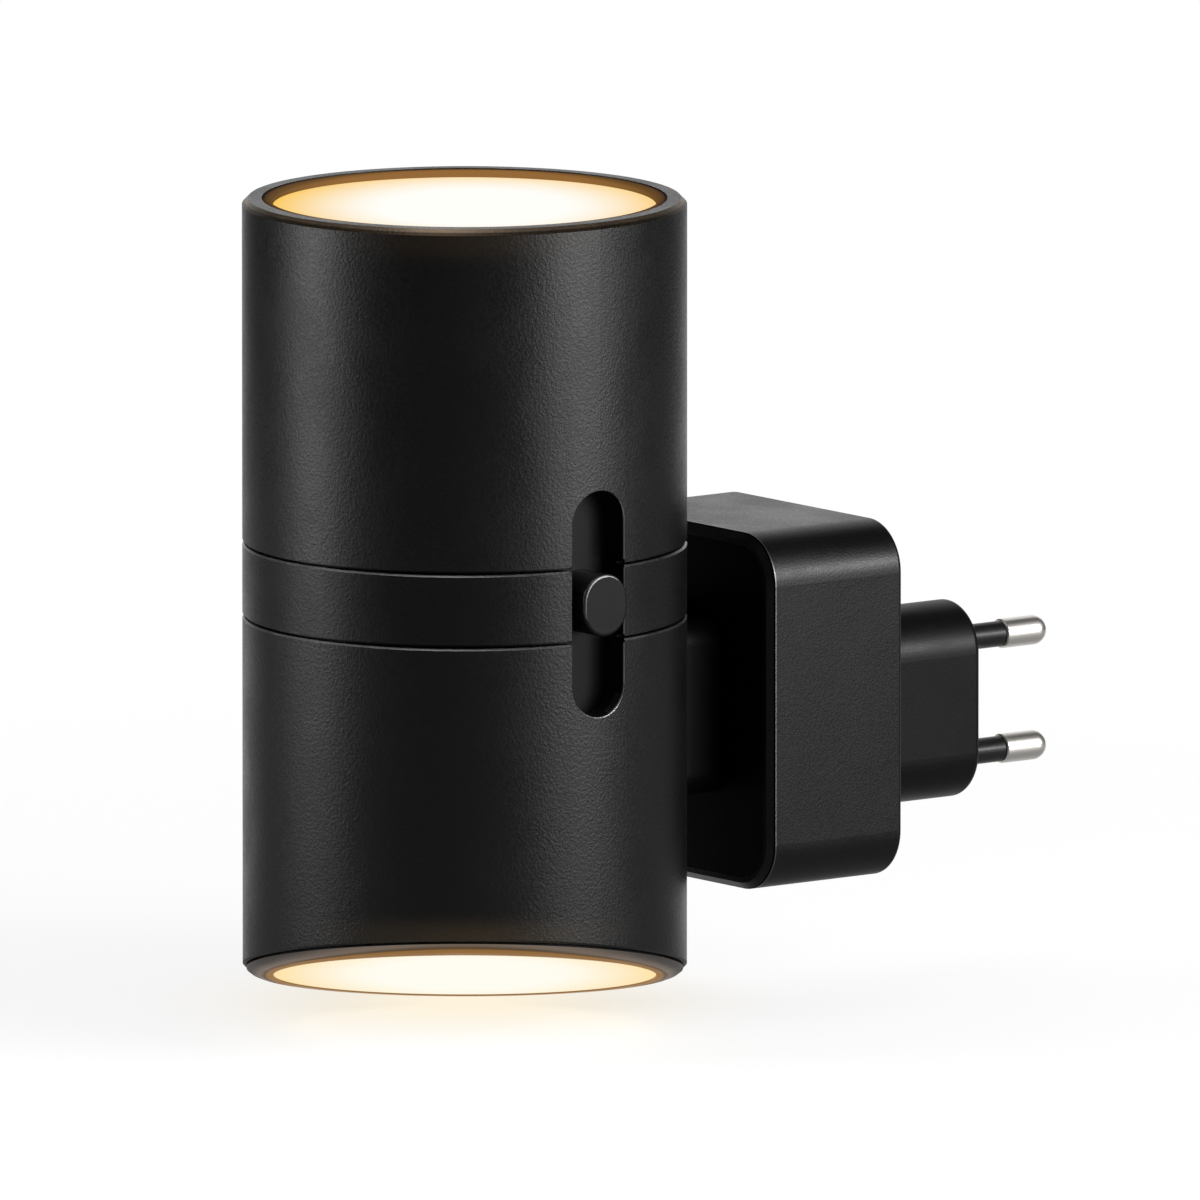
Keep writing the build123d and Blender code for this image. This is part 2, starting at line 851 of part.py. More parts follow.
def led_leads():
    """Pair of wires from the control board up the axis to the upper light board."""
    sides = [sign * lead_pitch / 2 for sign in signs]
    return group(
        lead([(control_back, y, lead_drop), (0, y, lead_drop), (0, y, led_face)]) for y in sides
    )


# Neck


def neck():
    """Block between the round head and the flat front of the driver box."""
    block = slab_y(neck_width, neck_height, neck_corner, 0, neck_end)
    block = Pos(0, 0, neck_z) * block
    return block - bar_z(head_radius + fit, mouth_height, band_half) - neck_holes()


def nut_seat():
    """Where the neck nuts bear on the curved inside of the frame."""
    inner = frame_radius - frame_wall
    return sqrt(inner**2 - nut_corner**2) - fit


def neck_screws():
    """Long screws from inside the driver box through the neck into the core frame."""
    seat = neck_end + cover_thickness
    tip = nut_seat() - large_nut_height - large_screw_spare
    screw = bar_y(large_head, seat, seat + large_head_height) + bar_y(large_shank, tip, seat)
    rises = [neck_z + sign * neck_screw_spacing / 2 for sign in signs]
    return group([Pos(0, 0, rise) * screw for rise in rises])


def neck_nuts():
    """Hexagon nuts of the neck screws inside the core frame."""
    seat = nut_seat()
    outline = RegularPolygon(large_nut_flats / 2, nut_sides, major_radius=False)
    nut = Rot(-quarter, 0, 0) * extrude(outline, large_nut_height)
    nut = Pos(0, seat - large_nut_height, 0) * nut
    nut -= bar_y(large_shank + screw_fit, 0, seat + over)
    rises = [neck_z + sign * neck_screw_spacing / 2 for sign in signs]
    return group([Pos(0, 0, rise) * nut for rise in rises])


# Driver box, made with its front face at zero


def box_corners():
    """The four corner places of the cover's posts and the case's screws."""
    return [Pos(x * post_x, 0, z * post_rise) for x in signs for z in signs]


def standoff_places():
    """The two places where the driver board is screwed down."""
    return [Pos(side * board_standoff_x, 0, side * board_standoff_z) for side in signs]


def driver_case():
    """Deep tub of the box with a ledge for the cover and an opening for the plug's nose."""
    case = slab_y(box_width, box_height, box_corner, 0, box_depth)
    case = chamfer(case.faces().sort_by(Axis.Y)[0].edges(), box_front_bevel)
    case = fillet(case.faces().sort_by(Axis.Y)[-1].edges(), box_rear_round)
    for depth, inset in ((cover_thickness, box_wall), (box_inner_rear, box_inset)):
        width = box_width - 2 * inset
        height = box_height - 2 * inset
        case -= slab_y(width, height, box_corner - inset, -over, depth)
    nose_hole = pill_y(nose_width + 2 * fit, nose_height + 2 * fit, 0, box_depth + over)
    case -= Pos(0, 0, -box_rise) * nose_hole
    for place in box_corners():
        case -= place * bar_y(small_shank + fit, box_inner_rear - over, box_depth + over)
        case -= place * bar_y(small_head + fit, box_depth - small_head_height, box_depth + over)
    for side in signs:
        pilot = bar_y(small_shank + screw_fit, box_inner_rear - over, box_inner_rear + plate_screw_grip)
        case -= Pos(0, 0, side * flange_screw_z - box_rise) * pilot
    return case


def driver_cover():
    """Front plate of the box with posts to the rear wall and standoffs for the board."""
    inset = box_wall + fit
    cover = slab_y(box_width - 2 * inset, box_height - 2 * inset, box_corner - inset, 0, cover_thickness)
    for place in box_corners():
        post = bar_y(cover_post_radius, 0, box_inner_rear)
        post -= bar_y(small_shank + screw_fit, box_inner_rear - case_screw_grip, box_inner_rear + over)
        cover += place * post
    for place in standoff_places():
        cover += place * bar_y(board_standoff_radius, 0, driver_seat)
        cover -= place * bar_y(small_shank + screw_fit, driver_seat - small_screw_grip, driver_seat + over)
    return cover - Pos(0, -neck_end, -neck_z) * neck_holes()


def case_screws():
    """Four screws from the rear of the box into the cover's posts, their heads sunk."""
    seat = box_depth - small_head_height
    screw = bar_y(small_head, seat, box_depth)
    screw += bar_y(small_shank, box_inner_rear - case_screw_grip, seat)
    return group([place * screw for place in box_corners()])


def driver_board():
    """Board of the driver with its corners cut away round the posts."""
    board = block_y(driver_board_width, driver_board_height, driver_seat, driver_face)
    for x in signs:
        for z in signs:
            notch = block_y(2 * driver_notch_width, 2 * driver_notch_height, 0, box_depth)
            board -= Pos(x * driver_board_width / 2, 0, z * driver_board_height / 2) * notch
    for place in standoff_places():
        board -= place * bar_y(small_shank + fit, driver_seat - over, driver_face + over)
    return board


def driver_board_screws():
    """Screws that hold the driver board to the cover's standoffs."""
    screw = bar_y(small_head, driver_face, driver_face + small_head_height)
    screw += bar_y(small_shank, driver_seat - small_screw_grip, driver_face)
    return group([place * screw for place in standoff_places()])


def on_board(shares, part):
    """A component put down on the driver board, at shares of its half sizes."""
    across, up = shares
    return Pos(across * driver_board_width / 2, driver_face, up * driver_board_height / 2) * part


def transformer_coil():
    """Wound coil of the transformer."""
    return on_board(coil_shares, block_y(coil_width, coil_height, 0, coil_depth))


def transformer_core():
    """Ferrite core that wraps the transformer's coil from above and below."""
    height = coil_height + 2 * core_limb
    top = coil_depth + core_margin
    core = block_y(core_width, height, 0, top)
    core -= block_y(core_width + over, coil_height, -over, coil_depth)
    return on_board(coil_shares, core)


def bulk_capacitor():
    """Large can capacitor that stands on the board."""
    return on_board(bulk_shares, bar_y(bulk_radius, 0, bulk_length))


def output_capacitor():
    """Smaller can capacitor on the lamp's side of the driver."""
    return on_board(output_shares, bar_y(output_radius, 0, output_length))


def fuse():
    """Round fuse that lies on the board."""
    body = Pos(0, fuse_radius, 0) * bar_z(fuse_radius, -fuse_length / 2, fuse_length / 2)
    return on_board(fuse_shares, body)


def choke():
    """Drum choke that stands on the board."""
    return on_board(choke_shares, bar_y(choke_radius, 0, choke_length))


def controller_chip():
    """Controller package on the board."""
    return on_board(chip_shares, block_y(chip_width, chip_height, 0, chip_depth))


# Plug, made at the origin


def at_pin(side, part):
    """Move a piece made on the Y axis to the upper or lower pin."""
    return Pos(0, 0, side * pin_spacing / 2) * part


def plug_nose():
    """Stadium-shaped nose with a solid end round the pins, hollow behind, and a flange inside the box."""
    inside = -nose_length - box_rear_wall
    nose = pill_y(nose_width, nose_height, inside, 0)
    nose = fillet(nose.faces().sort_by(Axis.Y)[-1].edges(), nose_round)
    flange_start = inside - nose_flange_thickness
    nose += slab_y(nose_flange_width, nose_flange_height, nose_flange_corner, flange_start, inside)
    cavity_width = nose_width - 2 * nose_wall
    nose -= pill_y(cavity_width, nose_height - 2 * nose_wall, flange_start - over, -nose_block)
    for side in signs:
        nose -= at_pin(side, pin_ways())
        hole = bar_y(small_shank + fit, flange_start - over, inside + over)
        nose -= Pos(0, 0, side * flange_screw_z) * hole
    return nose


def pin_ways():
    """Space in the nose for one pin and the root of its sleeve."""
    collar_end = -pin_collar_depth
    ways = bar_y(pin_core_radius + screw_fit, -nose_block - over, 0)
    ways += bar_y(pin_collar_radius + screw_fit, collar_end - pin_collar_length, collar_end)
    return ways + bar_y(sleeve_root_radius + screw_fit, -sleeve_depth, over)


def plug_pin(side):
    """Metal pin: bare round-ended tip, slimmer core and a collar that anchors it in the nose."""
    round_start = pin_length - pin_radius
    tip = bar_y(pin_radius, sleeve_length, round_start)
    tip += Pos(0, round_start, 0) * Sphere(pin_radius)
    collar_end = -pin_collar_depth
    core = bar_y(pin_core_radius, -pin_tail, sleeve_length)
    return at_pin(side, tip + core + bar_y(pin_collar_radius, collar_end - pin_collar_length, collar_end))


def pin_sleeve(side):
    """Insulating sleeve over the root half of a pin, with a thicker ring at the nose."""
    sleeve = bar_y(sleeve_radius, 0, sleeve_length)
    sleeve += bar_y(sleeve_root_radius, -sleeve_depth, sleeve_root_length)
    sleeve -= bar_y(pin_core_radius + screw_fit, -sleeve_depth - over, sleeve_length + over)
    return at_pin(side, sleeve)


def plug_screws():
    """Screws from inside the box through the nose's flange into the rear wall."""
    wall = -nose_length - box_rear_wall
    seat = wall - nose_flange_thickness
    screw = bar_y(small_head, seat - small_head_height, seat)
    screw += bar_y(small_shank, seat, wall + plate_screw_grip)
    return group([Pos(0, 0, side * flange_screw_z) * screw for side in signs])


def mains_leads():
    """Wires from the pins' inner ends to the driver board."""
    wire = bar_y(mains_lead_radius, box_front + driver_face, -pin_tail)
    return group([at_pin(side, wire) for side in signs])


def all_pieces():
    """Every piece of the lamp in its place, by name."""
    sink = heat_sink()
    board = led_board()
    packages = led_packages()
    wires = led_leads()
    in_head = {
        "upper_shade": upper_shade(),
        "lower_shade": lower_shade(),
        "centre_band": centre_band(),
        "upper_bezel": upper_bezel(),
        "lower_bezel": lower_bezel(),
        "upper_diffuser": upper_diffuser(),
        "lower_diffuser": lower_diffuser(),
        "upper_reflector": upper_reflector(),
        "lower_reflector": lower_reflector(),
        "upper_led_board": board,
        "lower_led_board": flipped(board),
        "upper_leds": packages,
        "lower_leds": flipped(packages),
        "upper_heat_sink": sink,
        "lower_heat_sink": flipped(sink),
        "led_board_screws": led_board_screws(),
        "heat_sink_screws": heat_sink_screws(),
        "core_frame": core_frame(),
        "frame_screws": frame_screws(),
        "mount_block": mount_block(),
        "slot_liner": slot_liner(),
        "liner_screws": liner_screws(),
        "control_board": control_board(),
        "control_board_screws": control_board_screws(),
        "dimmer_can": dimmer_can(),
        "dimmer_track": dimmer_track(),
        "dimmer_slider": dimmer_slider(),
        "dimmer_wiper": dimmer_wiper(),
        "switch_knob": switch_knob(),
        "slide_shutter": slide_shutter(),
        "supply_leads": supply_leads(),
        "upper_led_leads": wires,
        "lower_led_leads": flipped(wires),
        "neck": neck(),
        "neck_screws": neck_screws(),
        "neck_nuts": neck_nuts(),
    }
    in_box = {
        "driver_case": driver_case(),
        "driver_cover": driver_cover(),
        "case_screws": case_screws(),
        "driver_board": driver_board(),
        "driver_board_screws": driver_board_screws(),
        "transformer_coil": transformer_coil(),
        "transformer_core": transformer_core(),
        "bulk_capacitor": bulk_capacitor(),
        "output_capacitor": output_capacitor(),
        "fuse": fuse(),
        "choke": choke(),
        "controller_chip": controller_chip(),
    }
    pieces = {
        "plug_nose": plug_nose(),
        "plug_screws": plug_screws(),
        "upper_pin": plug_pin(1),
        "lower_pin": plug_pin(-1),
        "upper_sleeve": pin_sleeve(1),
        "lower_sleeve": pin_sleeve(-1),
        "mains_leads": mains_leads(),
    }
    pieces |= {name: head * piece for name, piece in in_head.items()}
    pieces |= {name: box * piece for name, piece in in_box.items()}
    return pieces


os.makedirs("parts", exist_ok=True)
for name, piece in all_pieces().items():
    export_step(piece, f"parts/{name}.step")
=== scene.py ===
import logging
import math
from dataclasses import dataclass, field
from enum import Enum
from typing import Any, Mapping, Sequence

import bpy
import numpy as np
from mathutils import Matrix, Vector


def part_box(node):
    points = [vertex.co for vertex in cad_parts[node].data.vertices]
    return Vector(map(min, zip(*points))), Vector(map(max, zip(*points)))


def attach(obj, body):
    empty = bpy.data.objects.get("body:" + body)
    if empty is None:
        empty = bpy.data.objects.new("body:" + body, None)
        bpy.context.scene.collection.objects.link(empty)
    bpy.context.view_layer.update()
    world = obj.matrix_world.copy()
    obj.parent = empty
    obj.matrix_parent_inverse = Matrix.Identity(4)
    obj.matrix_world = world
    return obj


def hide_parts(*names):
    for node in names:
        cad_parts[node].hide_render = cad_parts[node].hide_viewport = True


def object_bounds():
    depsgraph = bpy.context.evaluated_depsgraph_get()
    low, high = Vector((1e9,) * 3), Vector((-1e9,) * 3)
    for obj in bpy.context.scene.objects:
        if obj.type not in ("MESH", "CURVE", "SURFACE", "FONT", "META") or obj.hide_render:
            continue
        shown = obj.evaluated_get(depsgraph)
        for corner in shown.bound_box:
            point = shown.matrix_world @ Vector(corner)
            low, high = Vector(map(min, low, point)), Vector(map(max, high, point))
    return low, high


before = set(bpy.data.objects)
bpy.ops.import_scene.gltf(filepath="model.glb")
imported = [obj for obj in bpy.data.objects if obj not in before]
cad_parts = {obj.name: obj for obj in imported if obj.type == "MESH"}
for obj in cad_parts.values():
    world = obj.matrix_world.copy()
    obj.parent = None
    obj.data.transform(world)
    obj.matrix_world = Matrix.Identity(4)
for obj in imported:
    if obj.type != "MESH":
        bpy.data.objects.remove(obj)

CAD_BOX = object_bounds()
LOG = logging.getLogger("wall_lamp")
MM = 0.001
TURN = 2.0 * math.pi
BODY = "lamp"
MARK = "mark"
VIEW_AZIMUTH = 52.5
ZERO = (0.0, 0.0, 0.0)
WHITE = (1.0, 1.0, 1.0)
LEVEL = (1.0, 1.0, 0.0)

Value = Any
Colour = tuple[float, float, float]
Pair = tuple[float, float]
Array = np.ndarray
Socket = bpy.types.NodeSocket
Tree = bpy.types.NodeTree
Material = bpy.types.Material


class Axis(Enum):
    """A row axis."""

    X = (1.0, 0.0, 0.0)
    Y = (0.0, 1.0, 0.0)
    Z = (0.0, 0.0, 1.0)

    @property
    def index(self) -> int:
        """Place of the axis in a vector."""
        return self.value.index(1.0)

    def turned(self, points: Array, sign: int = 1) -> Array:
        """Turns points made along local Z onto this axis, or against it where the sign is -1."""
        return np.roll(points * np.array((1.0, sign, sign)), self.index + 1, axis=-1)


def grey(level: float) -> Colour:
    """Neutral colour of one level in linear light."""
    return (level, level, level)


def box_mm(node: str) -> tuple[Array, Array]:
    """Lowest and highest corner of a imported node's box in millimetres."""
    low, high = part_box(node)
    return np.array(low) / MM, np.array(high) / MM


def middle_of(node: str) -> Array:
    """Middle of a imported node's box in millimetres."""
    return sum(box_mm(node)) / 2.0


def smooth(value: Array, low: float, high: float) -> Array:
    """Smooth step from 0 at low to 1 at high: three times the square less twice the cube."""
    share = np.clip((value - low) / (high - low), 0.0, 1.0)
    return share * share * (3.0 - 2.0 * share)


def around(columns: int) -> Array:
    """Even angles round a full turn, without its end."""
    return np.linspace(0.0, TURN, columns, endpoint=False)


def towards(azimuth: float, elevation: float = 0.0) -> Vector:
    """Unit vector from the lamp to a place round it, 0 degrees being in front along -Y and 90 on +X."""
    turn, rise = math.radians(azimuth), math.radians(elevation)
    return Vector((math.sin(turn) * math.cos(rise), -math.cos(turn) * math.cos(rise), math.sin(rise)))


def add_object(name: str, data: bpy.types.ID) -> bpy.types.Object:
    """Adds an object to the scene.

    Args:
        name: Name of the object.
        data: Its mesh, light or camera.

    Returns:
        The object, at the origin.
    """
    made = bpy.data.objects.new(name, data)
    bpy.context.scene.collection.objects.link(made)
    return made


HEAD = np.array((*middle_of("upper_shade")[:2], middle_of("centre_band")[2]))
AHEAD = np.array(towards(VIEW_AZIMUTH))
ASIDE = np.array(towards(VIEW_AZIMUTH + 90.0))


class Bench:
    """Workbench for one node tree: adds nodes, sets their plain values and links them."""

    MIX_SOCKETS = (0, 6, 7)
    MIX_RESULT = 2

    def __init__(self, tree: Tree) -> None:
        """Takes the tree to work on."""
        self.tree = tree

    def feed(self, socket: Socket, value: Value) -> None:
        """Links a socket to an input, or sets the input's plain value.

        Args:
            socket: The input.
            value: A socket, a number, a vector or a colour.
        """
        if isinstance(value, Socket):
            self.tree.links.new(value, socket)
        elif socket.type == "RGBA":
            socket.default_value = (*value[:3], 1.0)
        else:
            socket.default_value = value

    def node(self, kind: str, values: Mapping[Any, Value] | None = None, **settings: Value) -> Value:
        """Adds a node.

        Args:
            kind: Node type without the shared prefix.
            values: Input names or numbers with plain values or sockets to link.
            settings: Properties of the node itself.

        Returns:
            The new node's outputs.
        """
        made = self.tree.nodes.new("ShaderNode" + kind)
        for name, value in settings.items():
            setattr(made, name, value)
        for name, value in (values or {}).items():
            self.feed(made.inputs[name], value)
        return made.outputs

    def group(self, tree: Tree, **values: Value) -> Value:
        """Places a shared node group, whose inputs have underscores for spaces, and returns its outputs."""
        named = {name.replace("_", " "): value for name, value in values.items()}
        return self.node("Group", named, node_tree=tree)

    def math(self, operation: str, first: Value, second: Value = 0.0) -> Socket:
        """Adds one step of arithmetic, named as its node names it, and returns the result."""
        return self.node("Math", {0: first, 1: second}, operation=operation)[0]

    def vector(self, operation: str, first: Value, second: Value = ZERO) -> Socket:
        """Adds one step of vector arithmetic and returns the result, a number for a product or a length."""
        result = "Value" if operation in ("DOT_PRODUCT", "LENGTH") else "Vector"
        return self.node("VectorMath", {0: first, 1: second}, operation=operation)[result]

    def mix(self, share: Value, first: Value, second: Value) -> Socket:
        """Mixes two colours by the share of the second."""
        values = dict(zip(self.MIX_SOCKETS, (share, first, second)))
        return self.node("Mix", values, data_type="RGBA")[self.MIX_RESULT]

    def blend(self, share: Value, first: Socket, second: Socket) -> Socket:
        """Mixes two shaders by the share of the second."""
        return self.node("MixShader", {0: share, 1: first, 2: second})[0]

    def span(self, value: Value, low: float, high: float, to_low: float = 0.0, to_high: float = 1.0) -> Socket:
        """Carries the range from low to high smoothly onto another one and stops at its ends."""
        limits = {"Value": value, "From Min": low, "From Max": high, "To Min": to_low, "To Max": to_high}
        return self.node("MapRange", limits, interpolation_type="SMOOTHSTEP")["Result"]

    def noise(self, place: Socket, scale: Socket, detail: float, roughness: float) -> Socket:
        """Adds a noise and returns its value."""
        values = {"Vector": place, "Scale": scale, "Detail": detail, "Roughness": roughness}
        return self.node("TexNoise", values)["Fac"]

    def scale(self, size: Socket) -> Socket:
        """Scale of a texture whose grains have a size in millimetres."""
        return self.math("DIVIDE", 1.0 / MM, size)

    def place(self) -> Socket:
        """The point of the object in metres."""
        return self.node("TexCoord")["Object"]

    def along(self, axis: Axis) -> Socket:
        """The point's place along one axis in millimetres."""
        return self.math("DIVIDE", self.node("SeparateXYZ", {0: self.place()})[axis.index], MM)


class GroupBench(Bench):
    """Workbench of one shared node group with named sockets."""

    def __init__(self, name: str, vectors: Sequence[str], numbers: Sequence[str] = ()) -> None:
        """Makes the group.

        Args:
            name: Name of the group.
            vectors, numbers: Names of its inputs.
        """
        super().__init__(bpy.data.node_groups.new(name, "ShaderNodeTree"))
        for kind, labels in (("NodeSocketVector", vectors), ("NodeSocketFloat", numbers)):
            for label in labels:
                self.tree.interface.new_socket(label, in_out="INPUT", socket_type=kind)
        self.start = self.tree.nodes.new("NodeGroupInput").outputs

    def close(self, **results: Socket) -> Tree:
        """Gives the group its outputs, which are all numbers.

        Args:
            results: The outputs by name.

        Returns:
            The finished node group.
        """
        for label in results:
            self.tree.interface.new_socket(label, in_out="OUTPUT", socket_type="NodeSocketFloat")
        end = self.tree.nodes.new("NodeGroupOutput").inputs
        for label, socket in results.items():
            self.feed(end[label], socket)
        return self.tree


class SharedEffects:
    """Shader node groups that several finishes place with their own values.

    Each noise has its detail and its roughness.
    """

    GRAIN_NOISE: Pair = (2.0, 0.6)
    GRAIN_SPAN: Pair = (0.25, 0.75)
    TONE_NOISE: Pair = (3.0, 0.55)
    TONE_SPAN: Pair = (0.3, 0.7)
    GLOSS_SHARES: Pair = (0.6, 0.4)
    LINE_NOISE: Pair = (3.0, 0.7)
    WIDE_NOISE: Pair = (2.0, 0.5)
    WIDE_LINES = 0.12
    SCATTER = 0.7
    TRACE_EDGE: Pair = (0.05, 0.09)

    def __init__(self) -> None:
        """Builds every group once."""
        self.grain, self.lines, self.traces = self._grain(), self._lines(), self._traces()
        self.lean, self.radius = self._lean(), self._radius()

    def _grain(self) -> Tree:
        """Fine grain with a slow mottle: two noises whose sizes are given in millimetres.

        Returns:
            The node group, with a height for bump, a tone and a gloss, all from 0 to 1.
        """
        bench = GroupBench("Grain", ("Place",), ("Grain Size", "Mottle Size"))
        place, fine, slow = (bench.start[name] for name in ("Place", "Grain Size", "Mottle Size"))
        height = bench.span(bench.noise(place, bench.scale(fine), *self.GRAIN_NOISE), *self.GRAIN_SPAN)
        tone = bench.span(bench.noise(place, bench.scale(slow), *self.TONE_NOISE), *self.TONE_SPAN)
        parts = [bench.math("MULTIPLY", part, share) for part, share in zip((height, tone), self.GLOSS_SHARES)]
        return bench.close(Height=height, Tone=tone, Gloss=bench.math("ADD", *parts))

    def _lean(self) -> Tree:
        """Mask of faces whose normal has a product with a direction between two limits.

        Returns:
            The node group, with a mask that is 1 on those faces.
        """
        bench = GroupBench("Bevel Lean", ("Direction",), ("Low", "High"))
        lean = bench.vector("DOT_PRODUCT", bench.node("NewGeometry")["True Normal"], bench.start["Direction"])
        above = bench.math("GREATER_THAN", lean, bench.start["Low"])
        return bench.close(Mask=bench.math("MULTIPLY", above, bench.math("LESS_THAN", lean, bench.start["High"])))

    def _lines(self) -> Tree:
        """Fine lines of a drawn metal: a noise that changes quickly across the draw and slowly along it.

        Returns:
            The node group, with a height and a tone from 0 to 1.
        """
        bench = GroupBench("Drawn Lines", ("Place", "Stretch"), ("Line Size",))
        drawn = bench.vector("MULTIPLY", bench.start["Place"], bench.start["Stretch"])
        scale = bench.scale(bench.start["Line Size"])
        wide = bench.noise(drawn, bench.math("MULTIPLY", scale, self.WIDE_LINES), *self.WIDE_NOISE)
        return bench.close(Height=bench.noise(drawn, scale, *self.LINE_NOISE), Tone=bench.span(wide, *self.TONE_SPAN))

    def _radius(self) -> Tree:
        """Distance from a middle in millimetres: the root of the squares of its parts along two directions.

        Returns:
            The node group, with the distance.
        """
        bench = GroupBench("Flat Distance", ("Place", "Middle", "First", "Second"))
        apart = bench.vector("SUBTRACT", bench.start["Place"], bench.start["Middle"])
        first, second = (bench.vector("DOT_PRODUCT", apart, bench.start[way]) for way in ("First", "Second"))
        flat = bench.node("CombineXYZ", {"X": first, "Y": second})[0]
        return bench.close(Distance=bench.math("DIVIDE", bench.vector("LENGTH", flat), MM))

    def _traces(self) -> Tree:
        """Copper under a board's mask: cell borders of a scattered pattern, with round pads at its points.

        Returns:
            The node group, with masks of the traces and of the pads.
        """
        bench = GroupBench("Traces", ("Place",), ("Pitch", "Pad Size"))
        scale = bench.scale(bench.start["Pitch"])
        cells = {"Vector": bench.start["Place"], "Scale": scale, "Randomness": self.SCATTER}
        border = bench.node("TexVoronoi", cells, feature="DISTANCE_TO_EDGE")["Distance"]
        point = bench.node("TexVoronoi", cells, feature="F1")["Distance"]
        pad = bench.math("LESS_THAN", point, bench.start["Pad Size"])
        return bench.close(Trace=bench.span(border, *self.TRACE_EDGE, 1.0, 0.0), Pad=pad)


class MaterialBench(Bench):
    """Workbench of one material, with its shader's inputs and the shared node groups at hand."""

    def __init__(self, name: str, effects: SharedEffects) -> None:
        """Makes the material.

        Args:
            name: Name of the material.
            effects: The shared node groups.
        """
        self.material = bpy.data.materials.new(name)
        self.material.use_nodes = True
        super().__init__(self.material.node_tree)
        self.shader = self.tree.nodes["Principled BSDF"].inputs
        self.effects = effects

    def give(self, name: str, value: Value) -> None:
        """Feeds one input of the shader."""
        self.feed(self.shader[name], value)

    def lean(self, direction: Colour, limits: Pair) -> Socket:
        """1 where the surface's normal has a product with the direction between the limits."""
        low, high = limits
        return self.group(self.effects.lean, Direction=direction, Low=low, High=high)["Mask"]

    def away(self, middle: Array, first: Array, second: Array) -> Socket:
        """Distance from a middle, measured along two directions, in millimetres."""
        ways = {"Middle": tuple(middle * MM), "First": tuple(first), "Second": tuple(second)}
        return self.group(self.effects.radius, Place=self.place(), **ways)["Distance"]


@dataclass(frozen=True)
class Finish:
    """A grained finish: mottled colour, grain in bump and gloss, and a second colour on faces that lean one way, in
    metal where asked: a painted highlight or painted shade on bevels, or a part's own second colour.

    Sizes are in millimetres and colours in linear light.
    """

    name: str
    colour: Colour
    tint: Colour
    roughness: float
    swing: float = 0.06
    specular: float = 0.3
    metallic: float = 0.0
    coat: float = 0.0
    grain: float = 0.4
    mottle: float = 9.0
    bump: float = 0.008
    bevel: Colour | None = None
    bevel_faces: Colour = Axis.Z.value
    bevel_range: Pair = (0.3, 0.9)
    bevel_metal: float = 1.0

    def as_kind(self, kind: type["Finish"], name: str, **more: Value) -> "Finish":
        """The same finish under another name, as a kind that does more."""
        return kind(**{**vars(self), "name": name, **more})

    def material(self, effects: SharedEffects) -> Material:
        """Makes the material.

        Args:
            effects: The shared node groups.

        Returns:
            The finished material.
        """
        bench = MaterialBench(self.name, effects)
        bench.give("Specular IOR Level", self.specular)
        bench.give("Metallic", self.metallic)
        bench.give("Coat Weight", self.coat)
        self.paint(bench)
        return bench.material

    def paint(self, bench: MaterialBench) -> None:
        """Feeds the shader's colour, metal share, roughness and normal.

        Args:
            bench: The material's bench.
        """
        sizes = {"Grain_Size": self.grain, "Mottle_Size": self.mottle}
        grain = bench.group(bench.effects.grain, Place=bench.place(), **sizes)
        colour = self.colours(bench, grain["Tone"])
        # faces that lean one way take the second colour: a painted highlight or painted shade on bevels, or a part's
        # own second colour
        if self.bevel is not None:
            mask = bench.lean(self.bevel_faces, self.bevel_range)
            colour = bench.mix(mask, colour, self.bevel_colour(bench))
            bench.give("Metallic", bench.math("MULTIPLY", mask, self.bevel_metal))
        self.surface(bench, colour, grain["Gloss"], grain["Height"])

    def colours(self, bench: MaterialBench, tone: Socket) -> Socket:
        """The finish's own colour: its two colours mixed by the mottle."""
        return bench.mix(tone, self.colour, self.tint)

    def bevel_colour(self, bench: MaterialBench) -> Value:
        """Colour of the faces that lean one way: a painted highlight or painted shade on bevels, or a part's own
        second colour.
        """
        return self.bevel

    def surface(self, bench: MaterialBench, colour: Socket, gloss: Socket, height: Socket) -> None:
        """Feeds the colour, a roughness that swings with the gloss, and the bump.

        Args:
            bench: The material's bench.
            colour: The colour.
            gloss: Value from 0 to 1 that lowers the roughness.
            height: Value from 0 to 1 for the bump.
        """
        low, high = self.roughness + self.swing, self.roughness - self.swing
        bump = {"Strength": 1.0, "Distance": self.bump * MM, "Height": height}
        bench.give("Base Color", colour)
        bench.give("Roughness", bench.span(gloss, 0.0, 1.0, low, high))
        bench.give("Normal", bench.node("Bump", bump)["Normal"])


